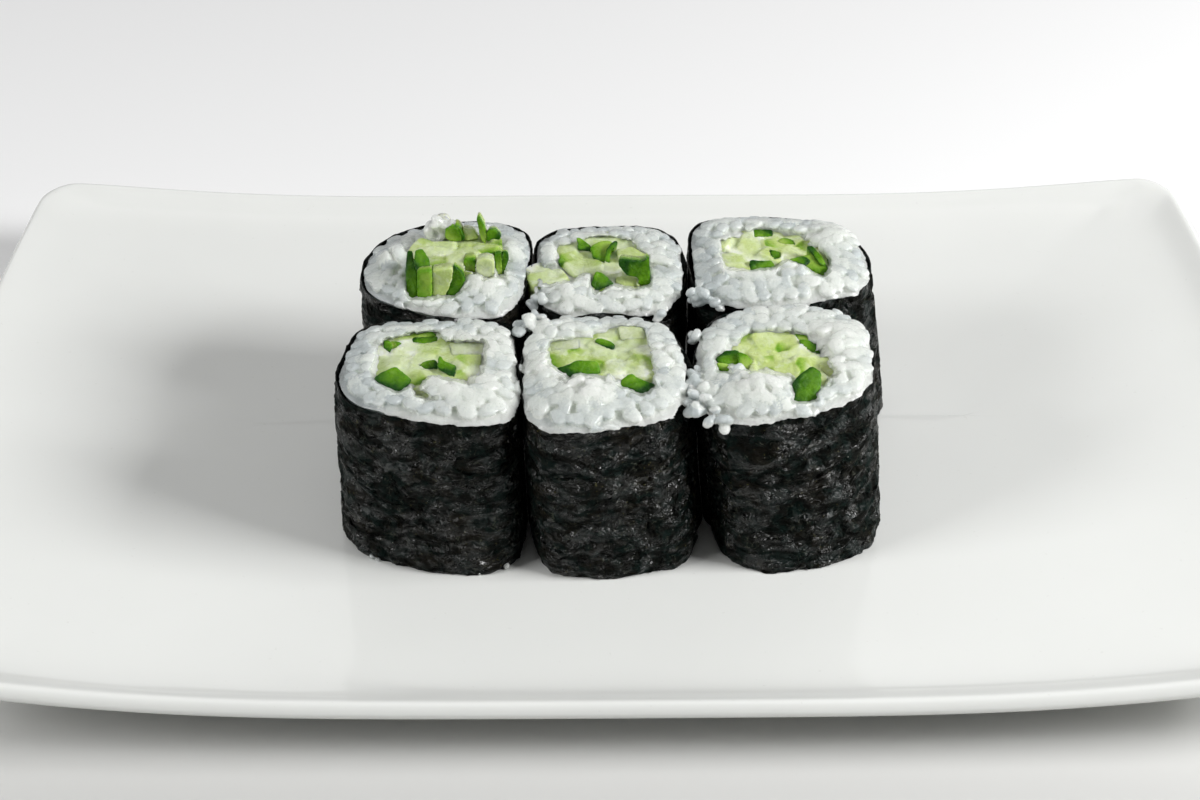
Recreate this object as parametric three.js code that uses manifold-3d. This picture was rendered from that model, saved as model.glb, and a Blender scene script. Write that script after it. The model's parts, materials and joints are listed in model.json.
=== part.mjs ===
// Six cucumber maki standing in two rows of three on a rectangular porcelain plate.
// Each roll is a band of nori round a ring of rice, with a bundle of cucumber sticks running through it.
// Millimetres, +Z up, +X to the right and +Y to the back. The origin is the middle of the plate's underside.

import * as THREE from "three";
import { mergeVertices } from "three/addons/utils/BufferGeometryUtils.js";
import Module from "manifold-3d";

const wasm = await Module();
wasm.setup();

// Free space between pieces that touch on the real food.
const GAP = 0.3;

// Plate
const PLATE = {
  length: 242,
  depth: 155.6,
  cornerRadius: 7,
  edgeBow: 2.5, // the outline draws in this far from the middle of each side to its corners
  wellHeight: 10, // flat middle above the table
  flatLength: 100, // the middle stretch that lies flat: beyond it both ends bend up
  endRise: 6.8, // how far the ends bend up
  longLip: 3, // how far the lip curls up along the long sides
  shortLip: 1.4,
  lipWidth: 9, // from the outline in to where the curl starts
  thickness: 3.6,
  foot: { inset: 36, width: 5, height: 4.5 },
  sectors: 40,
};

// Rolls
const NORI_THICKNESS = 0.6;
const WRINKLE = 0.22;
const WALL_SECTORS = 28;
const WALL_ROWS = 3;
const DENT_SPREAD = 0.5; // radians over which a dent fades
const FLARE_SPREAD = 0.8;

// Rice: cooked short grain
const GRAIN = { length: 5.2, width: 2.5, thickness: 2.3 };
const GRAINS_PER_ROLL = 20;
const GRAIN_SPACING = 3.9;
const RICE_DOME = 1.1; // the rice swells this far over the nori's edge

// Cucumber: a bundle of square sticks, cut lengthwise with some of the skin on
const STICK = { width: 3.4, depth: 3.0, length: 9 };
const STICKS_PER_ROLL = 7;
const STICK_SPACING = 3.9;
const STICK_SPREAD = 1.0; // how unevenly the sticks end
const BUNDLE_SINK = 1.4; // the bundle's body ends this far under the nori's edge

// Each roll, seen from above. dents are [direction in degrees, depth]; a dent under zero is a bulge.
// foot says how the lower end differs from the top: shifted by [x, y], and flared in a direction.
// filling is the bundle's outline, from the roll's middle, and lift is how far its sticks stand out.
const ROLLS = [
  {
    name: "front_left",
    middle: [-32.1, -26.3],
    width: 31.4,
    depth: 29.2,
    height: 31,
    squareness: 4.4,
    turn: 0,
    dents: [[152, 2.6], [226, 3.4], [318, -0.9]],
    foot: { shift: [-0.5, -1.2], flare: [318, 1.4] },
    filling: { middle: [0.8, 1.3], width: 19.5, depth: 12.6, squareness: 3.2, turn: -4, lift: 0.2 },
  },
  {
    name: "front_middle",
    middle: [-1.9, -27.8],
    width: 27.2,
    depth: 32.4,
    height: 31.4,
    squareness: 3.7,
    turn: 3,
    dents: [[301, 2.0], [57, 0.7], [6, -0.8], [231, -0.8]],
    foot: { shift: [1.4, 0.2], flare: [306, 2.2] },
    filling: { middle: [-0.6, 5.0], width: 17.4, depth: 15.0, squareness: 3.4, turn: 4, lift: 0.3 },
  },
  {
    name: "front_right",
    middle: [28.9, -24.4],
    width: 29.8,
    depth: 31.4,
    height: 31,
    squareness: 2.9,
    turn: 0,
    dents: [[231, -1.8], [177, -0.8], [307, 2.2]],
    foot: { shift: [2.6, -3.4], flare: [225, -1.4] },
    filling: { middle: [-2.0, 1.9], width: 21.0, depth: 13.2, squareness: 3.0, turn: 2, lift: 0.4 },
  },
  {
    name: "back_left",
    middle: [-29.8, 5.1],
    width: 30.6,
    depth: 31.4,
    height: 31,
    squareness: 3.8,
    turn: -6,
    dents: [[127, 3.8], [227, 2.2]],
    foot: { shift: [0, 0], flare: [180, 0] },
    filling: { middle: [1.6, -0.6], width: 17.8, depth: 14.6, squareness: 3.4, turn: -3, lift: 5.6 },
  },
  {
    name: "back_middle",
    middle: [-0.8, 4.4],
    width: 28.2,
    depth: 29.2,
    height: 30.6,
    squareness: 3.5,
    turn: 4,
    dents: [[170, 0.8], [320, 1.4]],
    foot: { shift: [0, 0.4], flare: [270, 0.3] },
    filling: { middle: [-1.9, 1.5], width: 19.0, depth: 14.6, squareness: 3.4, turn: 3, lift: 0.6 },
  },
  {
    name: "back_right",
    middle: [30.1, 6.3],
    width: 33.2,
    depth: 28.8,
    height: 31.4,
    squareness: 5,
    turn: 1,
    dents: [[317, 2.8], [41, 3.6]],
    foot: { shift: [0.6, 0], flare: [0, 4.0] },
    filling: { middle: [-1.7, 2.7], width: 21.4, depth: 13.8, squareness: 3.2, turn: -2, lift: 0.5 },
  },
];

const porcelain = new THREE.MeshStandardMaterial({ color: "#eef0ea", roughness: 0.12, metalness: 0 });
const seaweed = new THREE.MeshStandardMaterial({ color: "#171c17", roughness: 0.5, metalness: 0 });
const cookedRice = new THREE.MeshStandardMaterial({ color: "#eff1f0", roughness: 0.4, metalness: 0 });
const cucumberFlesh = new THREE.MeshStandardMaterial({ color: "#b9cf76", roughness: 0.35, metalness: 0 });

const { degToRad: radians, lerp, smoothstep } = THREE.MathUtils;
const FULL_TURN = 2 * Math.PI;

// Seeded draws, evenly spread from low to high.
function drawsFrom(seed) {
  let state = seed;
  return (low, high) => {
    state = (state + 0x6d2b79f5) | 0;
    let mixed = Math.imul(state ^ (state >>> 15), 1 | state);
    mixed = (mixed + Math.imul(mixed ^ (mixed >>> 7), 61 | mixed)) ^ mixed;
    return low + ((high - low) * ((mixed ^ (mixed >>> 14)) >>> 0)) / 2 ** 32;
  };
}

// A lathe whose every point is moved by place(turn, radius, height), with turn from 0 to 1 round it:
// the lathe gives the rings and their faces.
function shapedLathe(profile, sectors, place) {
  const points = profile.map(([radius, height]) => new THREE.Vector2(radius, height));
  const geometry = new THREE.LatheGeometry(points, sectors);
  const position = geometry.getAttribute("position");
  for (let i = 0; i < position.count; i += 1) {
    const radius = Math.hypot(position.getX(i), position.getZ(i));
    const sector = Math.round((Math.atan2(position.getX(i), position.getZ(i)) * sectors) / FULL_TURN);
    const turn = ((sector + sectors) % sectors) / sectors;
    position.setXYZ(i, ...place(turn, radius, position.getY(i)));
  }
  return geometry;
}

function solidOf(geometry) {
  const bare = geometry.clone();
  bare.deleteAttribute("normal");
  bare.deleteAttribute("uv");
  const merged = mergeVertices(bare, 1e-4);
  return new wasm.Manifold(
    new wasm.Mesh({
      numProp: 3,
      vertProperties: merged.getAttribute("position").array,
      triVerts: new Uint32Array(merged.index.array),
    }),
  );
}

function geometryOf(solid) {
  const { vertProperties, triVerts } = solid.getMesh();
  const geometry = new THREE.BufferGeometry();
  geometry.setAttribute("position", new THREE.BufferAttribute(vertProperties, 3));
  geometry.setIndex(new THREE.BufferAttribute(triVerts, 1));
  geometry.computeVertexNormals();
  return geometry;
}

function namedMesh(name, geometry, material) {
  const mesh = new THREE.Mesh(geometry, material);
  mesh.name = name;
  return mesh;
}

// The angle from one direction to another, between -PI and PI.
function angleBetween(from, to) {
  return Math.atan2(Math.sin(from - to), Math.cos(from - to));
}

// How far a rounded square of this width and depth reaches in a direction.
function squareReach({ width, depth, squareness, turn }, angle) {
  const across = Math.abs(Math.cos(angle - radians(turn)) / (width / 2)) ** squareness;
  const along = Math.abs(Math.sin(angle - radians(turn)) / (depth / 2)) ** squareness;
  return (across + along) ** (-1 / squareness);
}

function fade(angle, degrees, spread) {
  return Math.exp(-((angleBetween(angle, radians(degrees)) / spread) ** 2));
}

// ---- Plate ----

// A point of a rounded rectangle, a share of the way round it from the middle of its right side.
// Each quarter gives a share of itself to half a short side, then the corner, then half a long side.
function roundedRectangle(turn, halfLength, halfDepth, radius) {
  const cornerStart = 0.2;
  const cornerEnd = 0.6;
  const quarter = Math.floor(turn * 4);
  const part = quarter % 2 ? 1 + quarter - turn * 4 : turn * 4 - quarter;
  const corner = (Math.PI / 2) * THREE.MathUtils.clamp((part - cornerStart) / (cornerEnd - cornerStart), 0, 1);
  const besideCorner = Math.min(part / cornerStart, 1);
  const beyondCorner = Math.min((1 - part) / (1 - cornerEnd), 1);
  const x = (halfLength - radius) * beyondCorner + radius * Math.cos(corner);
  const y = (halfDepth - radius) * besideCorner + radius * Math.sin(corner);
  return [quarter === 1 || quarter === 2 ? -x : x, quarter > 1 ? -y : y];
}

// A point of the plate's outline, drawn in by inset.
function plateOutline(turn, inset) {
  const halfLength = PLATE.length / 2 - inset;
  const halfDepth = PLATE.depth / 2 - inset;
  const radius = Math.min(PLATE.cornerRadius + 0.2 * inset, halfDepth);
  const [x, y] = roundedRectangle(turn, halfLength, halfDepth, radius);
  const drawX = PLATE.edgeBow * Math.abs(y / halfDepth) ** 3;
  const drawY = PLATE.edgeBow * Math.abs(x / halfLength) ** 3;
  return [x - Math.sign(x) * drawX, y - Math.sign(y) * drawY];
}

// How far the bent ends and the curled lip lift a point over the well; curl goes from 0 to 1 at the lip.
function lift(x, y, curl) {
  const beyondFlat = Math.max(Math.abs(x) - PLATE.flatLength / 2, 0);
  const bend = PLATE.endRise * (beyondFlat / (PLATE.length / 2 - PLATE.flatLength / 2)) ** 2;
  const toShortSide = PLATE.length / 2 - Math.abs(x);
  const toLongSide = PLATE.depth / 2 - Math.abs(y);
  const nearLongSide = smoothstep(toShortSide - toLongSide, -PLATE.lipWidth, PLATE.lipWidth);
  return bend + curl * lerp(PLATE.shortLip, PLATE.longLip, nearLongSide);
}

// The dish from the middle of its underside, out round the lip and back to the middle of the well.
function makePlate() {
  const { foot, thickness, lipWidth, wellHeight } = PLATE;
  const underWell = wellHeight - thickness - 1.5;
  const footInner = foot.inset + foot.width;
  const steps = [
    { inset: footInner + 2, height: foot.height, centre: true },
    { inset: footInner + 2, height: foot.height },
    { inset: footInner, height: 0 },
    { inset: foot.inset, height: 0 },
    { inset: foot.inset - 2, height: underWell - 0.4, bends: true },
    { inset: foot.inset * 0.6, height: underWell + 0.2, bends: true },
    { inset: lipWidth * 0.8, height: wellHeight - thickness, bends: true, curl: 0.1 },
    { inset: 1.4, height: wellHeight - thickness, bends: true, curl: 0.9 },
    { inset: 0.1, height: wellHeight - thickness * 0.7, bends: true, curl: 1 },
    { inset: 0, height: wellHeight - thickness * 0.4, bends: true, curl: 1 },
    { inset: 1.0, height: wellHeight, bends: true, curl: 1 },
    { inset: 2.2, height: wellHeight, bends: true, curl: 0.9 },
    { inset: lipWidth * 0.55, height: wellHeight, bends: true, curl: 0.42 },
    { inset: lipWidth, height: wellHeight, bends: true },
    { inset: lipWidth * 2.6, height: wellHeight, bends: true },
    { inset: lipWidth * 4.4, height: wellHeight, bends: true },
    { inset: lipWidth * 6.4, height: wellHeight, bends: true },
    { inset: lipWidth * 8, height: wellHeight, bends: true },
    { inset: lipWidth * 8, height: wellHeight, centre: true },
  ];
  const profile = steps.map((step, index) => [step.centre ? 0 : 1, index]);
  const geometry = shapedLathe(profile, PLATE.sectors, (turn, radius, index) => {
    const step = steps[Math.round(index)];
    if (step.centre) return [0, 0, step.height];
    const [x, y] = plateOutline(turn, step.inset);
    return [x, y, step.height + (step.bends ? lift(x, y, step.curl ?? 0) : 0)];
  });
  return namedMesh("plate", geometry, porcelain);
}

// ---- Rolls ----

// How far a roll's outer face reaches in a direction, at a share of its height: 0 at the foot, 1 at the top.
function wallReach(roll, angle, share) {
  let reach = squareReach(roll, angle);
  for (const [toward, depth] of roll.dents) reach -= depth * fade(angle, toward, DENT_SPREAD);
  const [toward, flare] = roll.foot.flare;
  return reach + (1 - share) * flare * fade(angle, toward, FLARE_SPREAD);
}

// A point of the roll at a distance from its leaning middle line, as [x, y, z].
function wallPoint(roll, angle, reach, height) {
  const lean = 1 - height / roll.height;
  const x = reach * Math.cos(angle) + lean * roll.foot.shift[0];
  const y = reach * Math.sin(angle) + lean * roll.foot.shift[1];
  return [x, y, height];
}

// The nori's fine waves, which run mostly round the roll.
function wrinkle(seed, angle, share) {
  const wave = Math.sin(3 * angle + seed + 5 * share) + Math.sin(7 * angle - 2 * seed + 9 * share);
  return 0.5 * WRINKLE * wave * Math.sin(Math.PI * Math.min(1, 0.15 + share));
}

function makeNori(roll, seed) {
  const inner = 1;
  const outer = 2;
  const profile = [[inner, 0]];
  for (let row = 0; row <= WALL_ROWS; row += 1) profile.push([outer, row / WALL_ROWS]);
  profile.push([inner, 1], [inner, 0.5], [inner, 0]);
  const geometry = shapedLathe(profile, WALL_SECTORS, (turn, radius, share) => {
    const angle = FULL_TURN * turn;
    const reach = wallReach(roll, angle, share);
    const skin = radius > 1.5 ? wrinkle(seed, angle, share) - WRINKLE : -NORI_THICKNESS - WRINKLE;
    return wallPoint(roll, angle, reach + skin, share * roll.height);
  });
  return namedMesh("nori_" + roll.name, geometry, seaweed);
}

// How far the rice reaches: up to the nori's inner face.
function riceReach(roll, angle, share) {
  return wallReach(roll, angle, share) - WRINKLE - NORI_THICKNESS - GAP;
}

// Height of the rice's uneven top, at a share of the way from the roll's middle to its edge.
function riceTop(roll, seed, angle, share) {
  const uneven = 0.3 * Math.sin(4 * angle + seed) * share;
  return roll.height - 0.4 + (RICE_DOME + uneven) * Math.cos((Math.PI / 2) * share ** 3);
}

function makeRiceBody(roll, seed) {
  const domeShares = [1, 0.8];
  const profile = [[0, 0], [1, 0], [1, 0.5]];
  for (const share of domeShares) profile.push([share, 1]);
  profile.push([0, 1]);
  const geometry = shapedLathe(profile, WALL_SECTORS, (turn, share, level) => {
    const angle = FULL_TURN * turn;
    const height = level < 1 ? level * roll.height : riceTop(roll, seed, angle, share);
    return wallPoint(roll, angle, share * riceReach(roll, angle, height / roll.height), height);
  });
  return solidOf(geometry);
}

// A solid of the filling's outline, grown by a margin, that leans with its roll from one height to another.
function fillingPrism(roll, grow, low, high) {
  const { filling } = roll;
  const outline = { ...filling, width: filling.width + 2 * grow, depth: filling.depth + 2 * grow };
  const profile = [[0, low], [1, low], [1, high], [0, high]];
  const geometry = shapedLathe(profile, 20, (turn, radius, height) => {
    const angle = FULL_TURN * turn;
    const [x, y] = wallPoint(roll, angle, radius * squareReach(outline, angle), height);
    return [filling.middle[0] + x, filling.middle[1] + y, height];
  });
  return solidOf(geometry);
}

// Whether [x, y] lies within the outline that reach(angle) draws round a middle.
function isInside(x, y, middle, reach) {
  const angle = Math.atan2(y - middle[1], x - middle[0]);
  return Math.hypot(x - middle[0], y - middle[1]) < reach(angle);
}

// Points at least this far apart, drawn at random over a roll and kept where the rule allows them.
function scatter(roll, draw, count, spacing, allows) {
  const points = [];
  for (let tries = 0; tries < 4000 && points.length < count; tries += 1) {
    const x = draw(-0.5, 0.5) * roll.width;
    const y = draw(-0.5, 0.5) * roll.depth;
    const clear = points.every(([px, py]) => Math.hypot(px - x, py - y) >= spacing);
    if (clear && allows(x, y)) points.push([x, y]);
  }
  return points;
}

// A geometry's copy, turned and moved.
function placed(geometry, turn, tilt, position) {
  const matrix = new THREE.Matrix4().makeRotationFromEuler(new THREE.Euler(tilt, 0, turn, "ZYX"));
  return geometry.clone().applyMatrix4(matrix.setPosition(...position));
}

// A grain lying on the rice, drawn towards the roll's middle until it clears the nori, or null.
function makeGrain(roll, seed, draw, [x, y]) {
  const turn = draw(0, Math.PI);
  const tilt = draw(-0.35, 0.35);
  const size = draw(0.88, 1.12);
  const egg = new THREE.IcosahedronGeometry(0.5, 0).scale(GRAIN.width, GRAIN.length, GRAIN.thickness);
  const edge = (angle) => riceReach(roll, angle, 1) - 0.1;
  for (let pull = 1; pull > 0.6; pull -= 0.04) {
    const angle = Math.atan2(y, x);
    const share = (pull * Math.hypot(x, y)) / riceReach(roll, angle, 1);
    const height = riceTop(roll, seed, angle, Math.min(share, 1)) + 0.2 * GRAIN.thickness;
    const grain = placed(egg.clone().scale(size, size, size), turn, tilt, [pull * x, pull * y, height]);
    const points = grain.getAttribute("position");
    let clear = true;
    for (let i = 0; i < points.count; i += 1) {
      clear &&= isInside(points.getX(i), points.getY(i), [0, 0], edge);
    }
    if (clear) return solidOf(grain);
  }
  return null;
}

function makeRice(roll, seed) {
  const draw = drawsFrom(1000 + seed);
  const { filling } = roll;
  const outside = (x, y) =>
    isInside(x, y, [0, 0], (angle) => riceReach(roll, angle, 1) - 0.8) &&
    !isInside(x, y, filling.middle, (angle) => squareReach(filling, angle) + 1.0);
  let rice = makeRiceBody(roll, seed);
  for (const point of scatter(roll, draw, GRAINS_PER_ROLL, GRAIN_SPACING, outside)) {
    const grain = makeGrain(roll, seed, draw, point);
    if (grain) rice = rice.add(grain);
  }
  rice = rice.subtract(fillingPrism(roll, GAP, -1, roll.height + 12));
  return namedMesh("rice_" + roll.name, geometryOf(rice), cookedRice);
}

function makeCucumber(roll, seed) {
  const draw = drawsFrom(2000 + seed);
  const { filling } = roll;
  const stick = new THREE.BoxGeometry(STICK.width, STICK.depth, STICK.length);
  const within = (x, y) =>
    isInside(x, y, filling.middle, (angle) => squareReach(filling, angle) - 0.3 * STICK.width);
  let bundle = fillingPrism(roll, -0.8, 0, roll.height + filling.lift * 0.5 - BUNDLE_SINK);
  for (const [x, y] of scatter(roll, draw, STICKS_PER_ROLL, STICK_SPACING, within)) {
    const top = roll.height + filling.lift + draw(-STICK_SPREAD, STICK_SPREAD) * (1 + filling.lift / 2);
    const turn = radians(filling.turn) + draw(-0.3, 0.3);
    bundle = bundle.add(solidOf(placed(stick, turn, draw(-0.08, 0.08), [x, y, top - STICK.length / 2])));
  }
  bundle = bundle.intersect(fillingPrism(roll, 0, -1, roll.height + 12));
  return namedMesh("cucumber_" + roll.name, geometryOf(bundle), cucumberFlesh);
}

function makeRoll(roll, seed) {
  const group = new THREE.Group();
  group.position.set(...roll.middle, PLATE.wellHeight + GAP);
  group.add(makeNori(roll, seed), makeRice(roll, seed), makeCucumber(roll, seed));
  return group;
}

const servedMaki = new THREE.Group();
servedMaki.add(makePlate());
ROLLS.forEach((roll, index) => servedMaki.add(makeRoll(roll, index + 1)));

export default servedMaki;
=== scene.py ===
"""Six cucumber maki on a rectangular porcelain plate: their finish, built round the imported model."""

import json
import math

import bmesh
import bpy
import numpy as np
from bpy.props import FloatProperty, FloatVectorProperty, PointerProperty
from mathutils import Matrix, Vector, kdtree, noise

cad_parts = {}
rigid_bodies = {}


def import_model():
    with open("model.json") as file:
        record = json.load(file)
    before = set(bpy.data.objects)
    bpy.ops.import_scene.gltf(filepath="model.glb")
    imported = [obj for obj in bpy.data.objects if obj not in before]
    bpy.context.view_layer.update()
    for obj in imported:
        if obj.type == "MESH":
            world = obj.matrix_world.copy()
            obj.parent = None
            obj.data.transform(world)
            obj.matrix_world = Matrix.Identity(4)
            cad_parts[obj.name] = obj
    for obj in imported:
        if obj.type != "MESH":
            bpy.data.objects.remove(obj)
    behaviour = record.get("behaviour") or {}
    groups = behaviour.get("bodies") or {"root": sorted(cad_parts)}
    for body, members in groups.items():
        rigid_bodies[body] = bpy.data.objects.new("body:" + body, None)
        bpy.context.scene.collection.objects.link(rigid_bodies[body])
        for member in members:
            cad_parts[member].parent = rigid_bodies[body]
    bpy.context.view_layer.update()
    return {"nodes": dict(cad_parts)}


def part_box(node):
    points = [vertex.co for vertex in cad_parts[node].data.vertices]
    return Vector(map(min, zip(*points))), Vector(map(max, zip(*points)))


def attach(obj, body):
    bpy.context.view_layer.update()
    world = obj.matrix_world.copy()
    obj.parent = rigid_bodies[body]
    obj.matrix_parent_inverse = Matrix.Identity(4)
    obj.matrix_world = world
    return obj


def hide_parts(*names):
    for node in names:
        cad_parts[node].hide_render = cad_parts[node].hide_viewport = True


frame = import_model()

bl_info = {
    "name": "Cucumber Maki Plate",
    "version": (1, 0, 0),
    "blender": (4, 5, 0),
    "location": "3D View > Sidebar > Maki",
    "description": "Builds six cucumber maki and their porcelain plate",
    "category": "Add Mesh",
}

MM = 0.001
FULL_TURN = 2 * math.pi
TABLE_TO_WELL = 10.0  # mm, the flat middle of the plate above the table
CAMERA = (-5.1, -318.5, 248.9)  # mm, where the camera stands
CAMERA_DOWN = 36.29  # degrees, how far it looks down
CAMERA_TURN = -0.5  # degrees, to the right of straight along Y

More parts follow.
